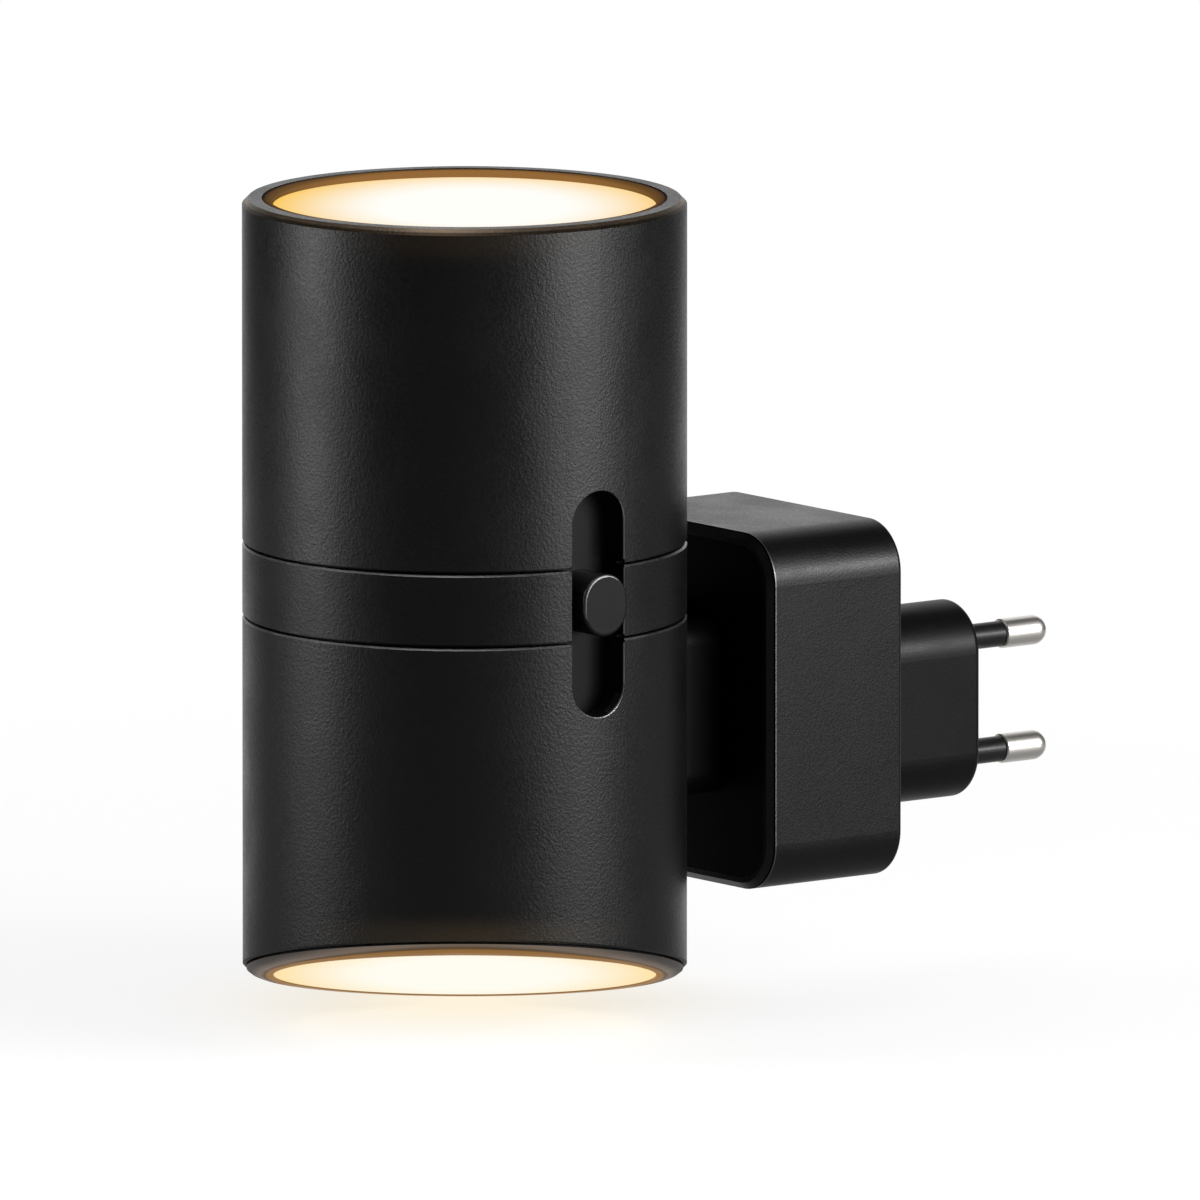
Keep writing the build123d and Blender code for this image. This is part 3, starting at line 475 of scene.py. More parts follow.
@dataclass(frozen=True)
class RimCoat(Finish):
    """Coat near a light opening, with painted light: bevels above a height are painted with a warm glow, and painted
    warm light spills over the front edge.
    """

    rim_height: float = 0.0
    # colours of the painted warm glow on the bevels above the rim's height, and the heights over which it grows
    # lighter
    rim: Colour = (0.06, 0.044, 0.03)
    rim_edge: Colour = (0.2, 0.152, 0.108)
    rim_band: Pair = (1.35, 1.6)
    front: float = 0.0
    front_range: Pair = (0.0, 1.01)
    # colour of the painted warm light spilled on the front wall, and how it falls off
    spill: Colour = ZERO
    spill_shares: Pair = (0.45, 3.0)
    spill_reach: float = 14.0

    def bevel_colour(self, bench: MaterialBench) -> Value:
        """Colour of the polished bevels, painted with a warm glow above the rim's height that grows lighter towards
        its edge.

        Args:
            bench: The material's bench.

        Returns:
            The colour.
        """
        height = bench.math("SUBTRACT", bench.along(Axis.Z), self.rim_height)
        # painted warm glow, lighter towards the rim's edge
        warm = bench.mix(bench.span(height, *self.rim_band), self.rim, self.rim_edge)
        return bench.mix(bench.math("GREATER_THAN", height, 0.0), self.bevel, warm)

    def spilled(self, bench: MaterialBench) -> Socket:
        """Share of the painted warm light spilled on the front wall, which falls with the distance from the opening's
        edge.

        Args:
            bench: The material's bench.

        Returns:
            The share, 1 in the middle of the edge.
        """
        aside, upright = self.spill_shares
        edge = np.array((*HEAD[:2], self.front))
        away = bench.away(edge, aside * ASIDE, upright * np.array(Axis.Z.value))
        near = bench.span(away, 0.0, self.spill_reach, 1.0, 0.0)
        return bench.math("MULTIPLY", near, bench.lean(tuple(AHEAD), self.front_range))

    def colours(self, bench: MaterialBench, tone: Socket) -> Socket:
        """The mottled colour, with painted warm light where it spills over the edge."""
        return bench.mix(self.spilled(bench), super().colours(bench, tone), self.spill)


@dataclass(frozen=True)
class GlintLineCoat(Finish):
    """Coat with a painted glint: a thin bright metal line round the piece, at one place along Y."""

    line_at: float = 0.0
    line_half: float = 0.14
    line: Colour = grey(0.1)

    def on_line(self, bench: MaterialBench) -> Socket:
        """1 on the painted glint, fading to 0 beside it."""
        apart = bench.math("ABSOLUTE", bench.math("SUBTRACT", bench.along(Axis.Y), self.line_at))
        return bench.span(apart, self.line_half, 2.0 * self.line_half, 1.0, 0.0)

    def paint(self, bench: MaterialBench) -> None:
        """Adds the painted glint's metal to the grained surface."""
        super().paint(bench)
        bench.give("Metallic", self.on_line(bench))

    def colours(self, bench: MaterialBench, tone: Socket) -> Socket:
        """The mottled colour with the painted glint."""
        return bench.mix(self.on_line(bench), super().colours(bench, tone), self.line)


@dataclass(frozen=True)
class LitPlate(Finish):
    """Lit surface round the head's axis: glows that follow one another outwards, the lamp's own light on a diffuser
    and painted light on a bezel.

    Beyond the first distance it may be lit only where it faces one way. The lead says how far the bright
    middle lies towards the viewer and to their right, and the share how much a distance towards them counts.
    """

    reach: tuple[float, ...] = ()
    glows: tuple[Colour, ...] = ()
    lead: Pair = (0.0, 0.0)
    share: float = 1.0
    facing: Colour | None = None
    facing_range: Pair = (0.03, 1.01)

    def paint(self, bench: MaterialBench) -> None:
        """Adds the glow, by the distance from its bright middle, to the grained surface.

        Args:
            bench: The material's bench.
        """
        super().paint(bench)
        middle = HEAD + AHEAD * self.lead[0] + ASIDE * self.lead[1]
        away = bench.away(middle, ASIDE, self.share * AHEAD)
        glow: Value = self.glows[0]
        for near, far, further in zip(self.reach, self.reach[1:], self.glows[1:]):
            glow = bench.mix(bench.span(away, near, far), glow, further)
        if self.facing is not None:
            close = bench.math("LESS_THAN", away, self.reach[0])
            lit = bench.math("MAXIMUM", bench.lean(self.facing, self.facing_range), close)
            glow = bench.mix(lit, ZERO, glow)
        bench.give("Emission Color", glow)
        bench.give("Emission Strength", 1.0)


@dataclass(frozen=True)
class DrawnMetal(Finish):
    """Bare or plated metal with fine lines along the way that it was drawn or turned."""

    metallic: float = 1.0
    stretch: Colour = (1.0, 0.06, 1.0)
    line: float = 0.12

    def paint(self, bench: MaterialBench) -> None:
        """Feeds the lines to the colour, the roughness and the bump."""
        lines = bench.group(bench.effects.lines, Place=bench.place(), Stretch=self.stretch, Line_Size=self.line)
        self.surface(bench, self.colours(bench, lines["Tone"]), lines["Tone"], lines["Height"])


@dataclass(frozen=True)
class SolderMask(Finish):
    """Circuit board: masked copper traces, a shade lighter, and bare tinned pads."""

    trace: Colour = (0.04, 0.2, 0.08)
    pad: Colour = (0.6, 0.58, 0.52)
    pitch: float = 3.0
    pad_share: float = 0.16

    def colours(self, bench: MaterialBench, tone: Socket) -> Socket:
        """The mottled mask with its traces and pads.

        Args:
            bench: The material's bench.
            tone: The mottle from 0 to 1.

        Returns:
            The colour.
        """
        copper = bench.group(bench.effects.traces, Place=bench.place(), Pitch=self.pitch, Pad_Size=self.pad_share)
        mask = super().colours(bench, tone)
        return bench.mix(copper["Pad"], bench.mix(copper["Trace"], mask, self.trace), self.pad)


@dataclass(frozen=True)
class SplitColour(Finish):
    """Two colours on either side of a place along an axis, as on a pair of wires."""

    axis: Axis = Axis.Z
    split: float = 0.0
    edge: float = 0.05
    other: Colour = grey(0.1)

    def colours(self, bench: MaterialBench, tone: Socket) -> Socket:
        """The mottled first colour below the split and the other above it."""
        above = bench.span(bench.along(self.axis), self.split - self.edge, self.split + self.edge)
        return bench.mix(above, super().colours(bench, tone), self.other)


@dataclass(frozen=True)
class Marked(Finish):
    """A second colour, in metal, where the piece's own mark is 1, as on a bare can end or a metal cap."""

    mark: Colour = grey(0.6)

    def marked(self, bench: MaterialBench) -> Socket:
        """The piece's own mark."""
        return bench.node("Attribute", attribute_name=MARK)["Fac"]

    def paint(self, bench: MaterialBench) -> None:
        """Adds the marked stretches' metal to the grained surface."""
        super().paint(bench)
        bench.give("Metallic", self.marked(bench))

    def colours(self, bench: MaterialBench, tone: Socket) -> Socket:
        """The mottled colour, and the second one on the mark."""
        return bench.mix(self.marked(bench), super().colours(bench, tone), self.mark)


@dataclass
class Skin:
    """A closed surface on a grid of rows and columns: columns close on themselves round the piece.

    Rows run from the bottom to the top with columns counter-clockwise, so that faces point outwards.
    The two ends are closed by a point each, or, on a loop, the last row joins the first.
    """

    grid: Array
    loop: bool = False
    mark: Array | None = None

    def points(self) -> Array:
        """The vertices: the grid's, then the two end points in the middle of the first and last rows."""
        flat = self.grid.reshape(-1, 3)
        return flat if self.loop else np.concatenate((flat, self.grid[[0, -1]].mean(axis=1)))

    def squares(self) -> Array:
        """Vertex numbers of the four-sided faces between neighbouring rows and columns.

        Returns:
            One row for each face.
        """
        rows, columns = self.grid.shape[:2]
        number = np.arange(rows * columns).reshape(rows, columns)
        aside = np.roll(number, -1, axis=1)
        faces = np.stack((number, aside, np.roll(aside, -1, axis=0), np.roll(number, -1, axis=0)), axis=-1)
        return (faces if self.loop else faces[:-1]).reshape(-1, 4)

    def fans(self) -> Array:
        """Vertex numbers of the three-sided faces round the two end points.

        Returns:
            One row for each face, none on a loop.
        """
        rows, columns = self.grid.shape[:2]
        if self.loop:
            return np.zeros((0, 3), int)
        first, last = np.arange(columns), np.arange(columns) + (rows - 1) * columns
        low = np.stack((np.roll(first, -1), first, np.full(columns, rows * columns)), axis=-1)
        high = np.stack((last, np.roll(last, -1), np.full(columns, rows * columns + 1)), axis=-1)
        return np.concatenate((low, high))

    def marks(self) -> Array:
        """One mark for each vertex, with the end rows' marks on the end points."""
        mark = np.broadcast_to(0.0 if self.mark is None else self.mark, self.grid.shape[:2])
        return mark.reshape(-1) if self.loop else np.concatenate((mark.reshape(-1), mark[[0, -1], 0]))


def spun(radius: Array, height: Array, columns: int) -> Array:
    """Surface of revolution: each profile point goes round the axis, at the cosine and sine of an even angle.

    Args:
        radius, height: Radius and height of each row, or of each row and column.
        columns: How many points go round.

    Returns:
        Grid of points about local Z.
    """
    shape = (len(radius), columns)
    across, upright = (np.broadcast_to(part.reshape(len(part), -1), shape) for part in (radius, height))
    angle = around(columns)
    return np.stack((across * np.cos(angle), across * np.sin(angle), upright), axis=-1)


def profile(corners: Sequence[Pair], step: float, decimals: int = 6) -> tuple[Array, Array]:
    """Profile through corner points, with extra points along its straight stretches.

    Args:
        corners: Radius and height of each corner.
        step: Greatest distance between profile points.
        decimals: Points that agree to so many decimals are one.

    Returns:
        Radii and heights.
    """
    points = np.array(corners, float)
    lengths = np.hypot(*np.diff(points, axis=0).T)
    whole = np.concatenate(([0.0], np.cumsum(lengths)))
    extra = np.arange(step, whole[-1], step)
    places = np.unique(np.round(np.concatenate((whole, extra)), decimals))
    return np.interp(places, whole, points[:, 0]), np.interp(places, whole, points[:, 1])


@dataclass
class Workshop:
    """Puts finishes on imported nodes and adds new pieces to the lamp."""

    effects: SharedEffects
    made: dict[str, Material] = field(default_factory=dict)

    def material(self, finish: Finish) -> Material:
        """The material of a finish, made at its first use.

        Args:
            finish: The finish.

        Returns:
            Its material.
        """
        if finish.name not in self.made:
            self.made[finish.name] = finish.material(self.effects)
        return self.made[finish.name]

    def dress(self, finish: Finish, *names: str) -> None:
        """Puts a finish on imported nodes.

        Args:
            finish: The finish.
            names: Names of the nodes.
        """
        for name in names:
            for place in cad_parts[name].material_slots:
                place.material = self.material(finish)
            LOG.info("node %s wears %s", name, finish.name)

    @staticmethod
    def mesh(name: str, skins: Sequence[Skin], crease: float) -> bpy.types.Mesh:
        """Makes one mesh of closed skins.

        Args:
            name: Name of the mesh.
            skins: The closed surfaces, in millimetres.
            crease: Angle in degrees above which an edge stays sharp.

        Returns:
            The mesh in metres, with the skins' marks.
        """
        starts = np.cumsum([0] + [len(skin.points()) for skin in skins])
        points = np.concatenate([skin.points() for skin in skins]) * MM
        squares = np.concatenate([skin.squares() + start for skin, start in zip(skins, starts)])
        fans = np.concatenate([skin.fans() + start for skin, start in zip(skins, starts)])
        corners = np.concatenate((squares.ravel(), fans.ravel()))
        firsts = np.concatenate((4 * np.arange(len(squares)), squares.size + 3 * np.arange(len(fans))))
        mesh = bpy.data.meshes.new(name)
        mesh.vertices.add(len(points))
        mesh.vertices.foreach_set("co", points.ravel())
        mesh.loops.add(len(corners))
        mesh.loops.foreach_set("vertex_index", corners)
        mesh.polygons.add(len(firsts))
        mesh.polygons.foreach_set("loop_start", firsts)
        mesh.update(calc_edges=True)
        mark = mesh.attributes.new(MARK, "FLOAT", "POINT")
        mark.data.foreach_set("value", np.concatenate([skin.marks() for skin in skins]).astype(np.float32))
        mesh.shade_smooth()
        mesh.set_sharp_from_angle(angle=math.radians(crease))
        return mesh

    def add(
        self, name: str, skins: Sequence[Skin], finish: Finish, *replaced: str, slot: str = "", crease: float = 40.0
    ) -> None:
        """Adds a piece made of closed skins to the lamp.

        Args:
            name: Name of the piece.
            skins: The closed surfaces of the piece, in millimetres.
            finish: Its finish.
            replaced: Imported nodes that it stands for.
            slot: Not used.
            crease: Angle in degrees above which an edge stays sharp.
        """
        mesh = self.mesh(name, skins, crease)
        mesh.materials.append(self.material(finish))
        piece = add_object(name, mesh)
        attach(piece, BODY)
        if replaced:
            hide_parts(*replaced)
        LOG.info("piece %s rides on %s, %d faces", name, BODY, len(mesh.polygons))


STEEL = DrawnMetal("screw_steel", (0.42, 0.42, 0.41), (0.52, 0.52, 0.5), 0.3, line=0.2, bump=0.002)


@dataclass(frozen=True)
class Screw:
    """Round-headed cross-recess screw made about local Z, its seat at zero and its head above it."""

    head: float = 2.0
    head_height: float = 1.4
    shank: float = 1.25
    tip: float = 0.45
    pitch: float = 0.7
    thread: float = 0.16
    arm: float = 0.62
    arm_width: float = 0.2
    recess: float = 0.6
    columns: int = 48
    rows_per_pitch: int = 6
    flank_rows: int = 8
    flank_end: float = 0.97
    top_rows: int = 24
    top_ends: Pair = (0.965, 0.04)
    blend: float = 0.1

    def crown(self, radius: Array) -> Array:
        """Height of the head's top: a fourth-power oval over the head's radius."""
        return self.head_height * (1.0 - np.clip(radius / self.head, 0.0, 1.0) ** 4) ** 0.25

    def inside(self, value: Array, limit: float) -> Array:
        """1 below the limit, falling to 0 over the recess's soft edge."""
        return 1.0 - smooth(value, limit - self.blend, limit + self.blend)

    def cross(self, radius: Array, angle: Array) -> Array:
        """Share of the recess's depth: 1 inside either of two crossed bars, with soft edges.

        Args:
            radius, angle: Places on the head.

        Returns:
            The share at each place.
        """
        x, y = np.abs(radius * np.cos(angle)), np.abs(radius * np.sin(angle))
        half, reach = self.arm_width * self.head, self.arm * self.head
        upright = self.inside(x, half) * self.inside(y, reach)
        return np.maximum(upright, self.inside(y, half) * self.inside(x, reach))

    def skin(self, grip: float, origin: Array, axis: Axis, sign: int) -> Skin:
        """The whole screw: a threaded shank, whose radius swings with height and angle, and the crossed head.

        Args:
            grip: Length of the shank below the seat.
            origin: Where the seat's middle is, in millimetres.
            axis: Axis of the screw.
            sign: 1 where the head is towards the axis's end and -1 where it is towards its start.

        Returns:
            The closed surface.
        """
        angle = around(self.columns)
        low = np.linspace(-grip, 0.0, int(self.rows_per_pitch * grip / self.pitch))[:, None]
        phase = (low / self.pitch - angle / TURN) % 1.0
        ridge = 1.0 - np.abs(2.0 * phase - 1.0)
        taper = self.tip + (1.0 - self.tip) * smooth(low, -grip, self.shank - grip)
        shank = (self.shank - self.thread + self.thread * ridge) * taper
        flank = np.linspace(0.0, 1.0, self.flank_rows)[:, None] * self.crown(np.array(self.flank_end * self.head))
        flank_radius = self.head * (1.0 - (flank / self.head_height) ** 4) ** 0.25
        start, end = self.top_ends
        top_radius = np.linspace(start * self.head, end * self.head, self.top_rows)[:, None]
        top = self.crown(top_radius) - self.recess * self.head_height * self.cross(top_radius, angle)
        level = np.ones((1, self.columns))
        radius = np.concatenate((shank, flank_radius * level, top_radius * level))
        height = np.concatenate((low * level, flank * level, top))
        return Skin(axis.turned(spun(radius, height, self.columns), sign) + origin)


@dataclass(frozen=True)
class ScrewSet:
    """Equal screws that stand for one packed group; their places come from the group's box."""

    node: str
    axis: Axis
    sign: int
    screw: Screw = Screw()
    diagonal: bool = False
    ring: tuple[float, ...] = ()
    pair_grip: float = 0.0
    decimals: int = 4
    crease: float = 50.0

    def places(self, low: Array, high: Array) -> Array:
        """Middles of the screws: the corners of the box drawn in by the head, or a ring about the head's axis.

        Args:
            low, high: Corners of the group's box in millimetres.

        Returns:
            One row for each screw, with what lies along the axis left at zero.
        """
        head, middle = self.screw.head, (low + high) / 2.0
        if self.ring:
            turns = np.radians(self.ring)
            reach = max(high[0] - HEAD[0], HEAD[0] - low[0])
            return HEAD * LEVEL + (reach - head) * np.stack((np.cos(turns), np.sin(turns), 0 * turns), axis=-1)
        near, far = np.minimum(low + head, middle), np.maximum(high - head, middle)
        ways = [np.unique(np.round(pair, self.decimals) + 0.0) for pair in zip(near, far)]
        ways[self.axis.index] = np.zeros(1)
        grid = np.stack(np.meshgrid(*ways, indexing="ij"), axis=-1).reshape(-1, 3)
        if self.diagonal:
            side = np.prod(np.delete(grid - middle, self.axis.index, axis=1), axis=1)
            grid = grid[side > 0.0]
        return grid

    def seats(self, low: float, high: float) -> tuple[tuple[float, float, int], ...]:
        """Where the heads sit.

        Args:
            low, high: Ends of the group's box along the axis.

        Returns:
            Grip, seat and sign of the screws, of both ends where the group is a mirrored pair.
        """
        head, grip = self.screw.head_height, self.pair_grip
        if not grip:
            seat = high - head if self.sign > 0 else low + head
            return ((high - low - head, seat, self.sign),)
        if self.sign > 0:
            return ((grip, high - head, 1), (grip, low + head, -1))
        return ((grip, high - grip, -1), (grip, low + grip, 1))

    def build(self, shop: Workshop) -> None:
        """Builds the screws and puts them in place of their group.

        Args:
            shop: The workshop.
        """
        low, high = box_mm(self.node)
        index, along = self.axis.index, np.array(self.axis.value)
        skins = [
            self.screw.skin(grip, place + along * seat, self.axis, sign)
            for grip, seat, sign in self.seats(low[index], high[index])
            for place in self.places(low, high)
        ]
        shop.add(f"{self.node}_cut", skins, STEEL, self.node, crease=self.crease)


@dataclass(frozen=True)
class Turning:
    """A turned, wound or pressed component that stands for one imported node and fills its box.

    The profile gives how far each corner lies inside the box's side and its height, both in millimetres,
    with negative heights counted down from the top. A wound stretch has a ridge that climbs with the angle.
    """

    node: str
    axis: Axis
    finish: Finish
    corners: tuple[Pair, ...]
    power: float = 2.0
    least: float = 0.02
    marked: tuple[Pair, ...] = ()
    mark_slack: float = 1e-4
    wound: Pair = (0.0, 0.0)
    wind: float = 0.0
    pitch: float = 0.5
    vent: float = 0.0
    vent_rim: float = 0.6
    vent_share: float = 0.6
    vent_width: float = 0.25
    stripe: float = 0.0
    stripe_mark: float = 0.45
    columns: int = 72
    step: float = 0.16

    def build(self, shop: Workshop) -> None:
        """Builds the component from its profile, drawn round a circle or a squarer oval of the given power.

        Args:
            shop: The workshop.
        """
        low, high = box_mm(self.node)
        index = self.axis.index
        half = np.roll((high - low) / 2.0, -index - 1)[:2]
        length = (high - low)[index]
        corners = [(inset, height if height >= 0.0 else length + height) for inset, height in self.corners]
        inset, height = profile(corners, self.step)
        angle = around(self.columns)
        phase = (height[:, None] / self.pitch - angle / TURN) % 1.0
        within = (height > self.wound[0]) & (height < self.wound[1])
        depth = inset[:, None] + self.wind * within[:, None] * np.abs(2.0 * phase - 1.0)
        oval = (np.abs(np.cos(angle)) ** self.power + np.abs(np.sin(angle)) ** self.power) ** (-1.0 / self.power)
        first = np.maximum(half[0] - depth, self.least) * oval * np.cos(angle)
        second = np.maximum(half[1] - depth, self.least) * oval * np.sin(angle)
        rise = height[:, None] - self.vent_depth(first, second, height, length)
        points = self.axis.turned(np.stack((first, second, rise), axis=-1))
        foot = (low + high) / 2.0
        foot[index] = low[index]
        mark = self.marks(height, angle, length)
        shop.add(f"{self.node}_formed", [Skin(points + foot, mark=mark)], self.finish, self.node)

    def vent_depth(self, first: Array, second: Array, height: Array, length: float) -> Array:
        """Depth of a can's scored cross: two grooves through the middle of its top.

        Args:
            first, second: Places across the component.
            height: Height of each row.
            length: Height of the component.

        Returns:
            Depth at each point.
        """
        top = (height > length - self.vent_rim)[:, None]
        middle = np.hypot(first, second) < self.vent_share * first.max()
        groove = np.exp(-((np.minimum(np.abs(first), np.abs(second)) / self.vent_width) ** 2))
        return self.vent * (top & middle) * groove

    def marks(self, height: Array, angle: Array, length: float) -> Array:
        """1 on the marked stretches, and a share of it on a sleeve's stripe.

        Args:
            height: Height of each row.
            angle: Angle of each column.
            length: Height of the component.

        Returns:
            The mark of each point.
        """
        on = np.zeros(height.shape)
        for low, high in self.marked:
            start, end = low if low >= 0.0 else length + low, high if high > 0.0 else length + high
            on += (height >= start - self.mark_slack) & (height <= end + self.mark_slack)
        line = self.stripe_mark * (np.abs(angle - math.pi) < self.stripe)
        return np.maximum(on[:, None], line[None, :])


@dataclass(frozen=True)
class SlotEdge:
    """Rolled edge round the slide slot: a thin round bead that peeks out where the slot meets the wall."""

    width: float = 10.8
    length: float = 37.2
    bead: float = 0.34
    peek: float = 0.2
    sink: float = 0.02
    bead_points: int = 20
    step: float = 0.4
    seam: float = 0.4
    seam_bevel: float = 0.35
    # painted highlight: the bead's side that faces the light is bright metal
    finish: Finish = Finish(
        "slot_edge", grey(0.004), grey(0.006), 0.34, grain=0.3, bump=0.002,
        bevel=grey(0.4), bevel_faces=(0.704, -0.502, 0.502), bevel_range=(0.55, 1.0),
    )

    def outline(self) -> Array:
        """Stadium outline counter-clockwise: two half circles joined by straight sides.

        Returns:
            Places across and up the slot, from the middle of the right side round to it.
        """
        radius, straight = self.width / 2.0 + self.bead - self.peek, (self.length - self.width) / 2.0
        side = np.arange(0.0, straight, self.step)
        turn = np.linspace(0.0, math.pi, int(math.pi * radius / self.step) + 1)
        right = np.stack((np.full_like(side, radius), side), axis=-1)
        top = np.stack((radius * np.cos(turn), straight + radius * np.sin(turn)), axis=-1)
        half = np.concatenate((right, top, right[::-1] * (-1.0, 1.0)))
        return np.concatenate((half, -half[1:]))

    def tube(self, flat: Array, radius: float) -> Skin:
        """Bead along a stretch of the outline: the outline wrapped on the wall, with a circle square to it.

        Args:
            flat: Places across and up the slot.
            radius: Radius of the round wall.

        Returns:
            The closed tube.
        """
        x = np.sqrt((radius - self.sink - self.bead) ** 2 - flat[:, 0] ** 2)
        path = np.stack((x, flat[:, 0], flat[:, 1]), axis=-1)
        way = np.gradient(path, axis=0)
        way /= np.linalg.norm(way, axis=1, keepdims=True)
        out = path * LEVEL
        out -= way * np.sum(out * way, axis=1, keepdims=True)
        out /= np.linalg.norm(out, axis=1, keepdims=True)
        turn = around(self.bead_points)[None, :, None]
        ring = np.cos(turn) * out[:, None, :] + np.sin(turn) * np.cross(way, out)[:, None, :]
        return Skin(path[:, None, :] + self.bead * ring + HEAD)

    def build(self, shop: Workshop) -> None:
        """Builds the bead in the stretches that the two seams leave.

        Args:
            shop: The workshop.
        """
        low, high = box_mm("upper_shade")
        radius, start = (high - low)[0] / 2.0, low[2] - HEAD[2]
        above, band = start + self.seam_bevel, start - self.seam - self.seam_bevel
        flat = self.outline()
        side = np.linspace(-band, band, int(2.0 * band / self.step))
        right = np.stack((np.full_like(side, flat[0, 0]), side), axis=-1)
        runs = {
            "slot_edge_upper": ("shade_coat", [flat[flat[:, 1] > above]]),
            "slot_edge_lower": ("shade_coat", [flat[flat[:, 1] < -above]]),
            "slot_edge_band": ("band_coat", [right, right[::-1] * (-1.0, 1.0)]),
        }
        for name, (slot, stretches) in runs.items():
            shop.add(name, [self.tube(run, radius) for run in stretches], self.finish, slot=slot)


Dressing = tuple[tuple[Finish, str], ...]
Screws = tuple[ScrewSet, ...]


@dataclass(frozen=True)
class Assembly:
    """A sub-assembly of the lamp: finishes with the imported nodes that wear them, and sets of screws."""

    finishes: Dressing = ()
    screws: Screws = ()

    def build(self, shop: Workshop) -> None:
        """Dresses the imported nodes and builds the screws.

        Args:
            shop: The workshop.
        """
        for finish, names in self.finishes:
            shop.dress(finish, *names.split())
        for screws in self.screws:
            screws.build(shop)


@dataclass(frozen=True)
class LampHead(Assembly):
    """Round shell of the lamp: two shades and the band between them, and the frame inside."""

    rim_depth: float = 2.0
    mouth_front: float = -24.3
    # colours of the painted warm light spilled over the front edges of the upper and lower mouths
    upper_spill: Colour = (0.009, 0.0055, 0.0025)
    lower_spill: Colour = (0.019, 0.012, 0.005)
    edge: SlotEdge = SlotEdge()
    # painted highlight: the shade's bevels that face up are bright metal
    shade: Finish = Finish(
        "shade_coat", grey(0.0012), grey(0.0017), 0.38, specular=0.31, grain=0.5, mottle=11.0, bump=0.022,
        bevel=grey(0.25),
    )
    finishes: Dressing = (
        # painted highlight: the band's bevels that face up are bright metal
        (Finish("band_coat", grey(0.0011), grey(0.0016), 0.38, specular=0.29, grain=0.5, bump=0.02,
                bevel=grey(0.25)), "centre_band"),
        (Finish("frame_plastic", grey(0.0025), grey(0.004), 0.45, specular=0.15, grain=0.5),
         "core_frame mount_block slot_liner"),
    )
    screws: Screws = (
        ScrewSet("frame_screws", Axis.Z, -1, ring=(80.0, 180.0, 280.0)),
        ScrewSet("heat_sink_screws", Axis.Z, -1, pair_grip=7.5),
        ScrewSet("led_board_screws", Axis.Z, 1, ring=(0.0, 120.0, 240.0), pair_grip=3.6),
    )

    def build(self, shop: Workshop) -> None:
        """Dresses the shell and the frame, and builds the slot's edge and the screws inside.

        Args:
            shop: The workshop.
        """
        rim = box_mm("upper_shade")[1][2] - self.rim_depth
        seam = box_mm("lower_shade")[1][2]
        upper = {"rim_height": rim, "front": rim, "spill": self.upper_spill}
        lower = {"rim_height": seam, "front": self.mouth_front, "spill": self.lower_spill}
        shop.dress(self.shade.as_kind(RimCoat, "upper_coat", **upper), "upper_shade")
        shop.dress(self.shade.as_kind(RimCoat, "lower_coat", **lower), "lower_shade")
        self.edge.build(shop)
        super().build(shop)


OPAL = Finish("opal", (0.012, 0.012, 0.011), (0.016, 0.016, 0.014), 0.5, specular=0.0, grain=0.6, bump=0.003)
OPAL_REACH = (13.0, 38.0)


@dataclass(frozen=True)
class LightEnds(Assembly):
    """What fills the two mouths of the head and lights them."""

    finishes: Dressing = (
        (OPAL.as_kind(
            LitPlate, "opal_upper", reach=OPAL_REACH, glows=((0.985, 0.985, 0.94), (0.96, 0.54, 0.0)),
            lead=(2.0, 1.6), share=0.78,
        ), "upper_diffuser"),
        (OPAL.as_kind(
            LitPlate, "opal_lower", reach=OPAL_REACH, glows=((0.985, 0.97, 0.87), (0.98, 0.70, 0.27)), share=0.64,
        ), "lower_diffuser"),
        # painted light: the bezel is no lamp; its warm glow stands for light from the diffuser, and its near black
        # outermost glow is painted shade in the gap beside the shade
        (LitPlate(
            "bezel_upper", (0.012, 0.010, 0.008), (0.018, 0.014, 0.010), 0.45, specular=0.0, grain=0.5,
            reach=(30.4, 31.35, 31.8, 32.8), share=0.97,
            glows=((0.28, 0.125, 0.03), (0.11, 0.052, 0.011), (0.09, 0.042, 0.013), (0.002, 0.001, 0.001)),
        ), "upper_bezel"),
        # painted light: the bezel is no lamp; its glow stands for light from the diffuser, and it is painted dark
        # where it does not face down, as shade in its groove
        (LitPlate(
            "bezel_lower", (0.009, 0.008, 0.007), (0.013, 0.011, 0.01), 0.36, specular=0.1, grain=0.5,
            reach=(32.0, 32.5, 33.1, 34.8), share=0.93, facing=(0.0, 0.0, -1.0),
            glows=((0.26, 0.12, 0.024), (0.085, 0.05, 0.022), (0.15, 0.115, 0.09), (0.04, 0.036, 0.034)),
        ), "lower_bezel"),
        (Finish("white_plastic", (0.78, 0.78, 0.76), (0.82, 0.82, 0.8), 0.5, grain=0.5),
         "upper_reflector lower_reflector"),
        (SolderMask("board_white", (0.74, 0.74, 0.71), (0.8, 0.8, 0.77), 0.4, grain=0.8, pitch=6.0,
                    trace=(0.68, 0.68, 0.64)), "upper_led_board lower_led_board"),
        (Finish("led_phosphor", (0.85, 0.56, 0.08), (0.9, 0.66, 0.14), 0.4, grain=0.15, mottle=1.0, coat=0.3,
                bevel=(0.8, 0.8, 0.78), bevel_range=(-0.5, 0.5), bevel_metal=0.0), "upper_leds lower_leds"),
        (DrawnMetal("sink_metal", (0.52, 0.53, 0.54), (0.62, 0.63, 0.64), 0.35, stretch=(1.0, 1.0, 0.05),
                    line=0.3), "upper_heat_sink lower_heat_sink"),
    )


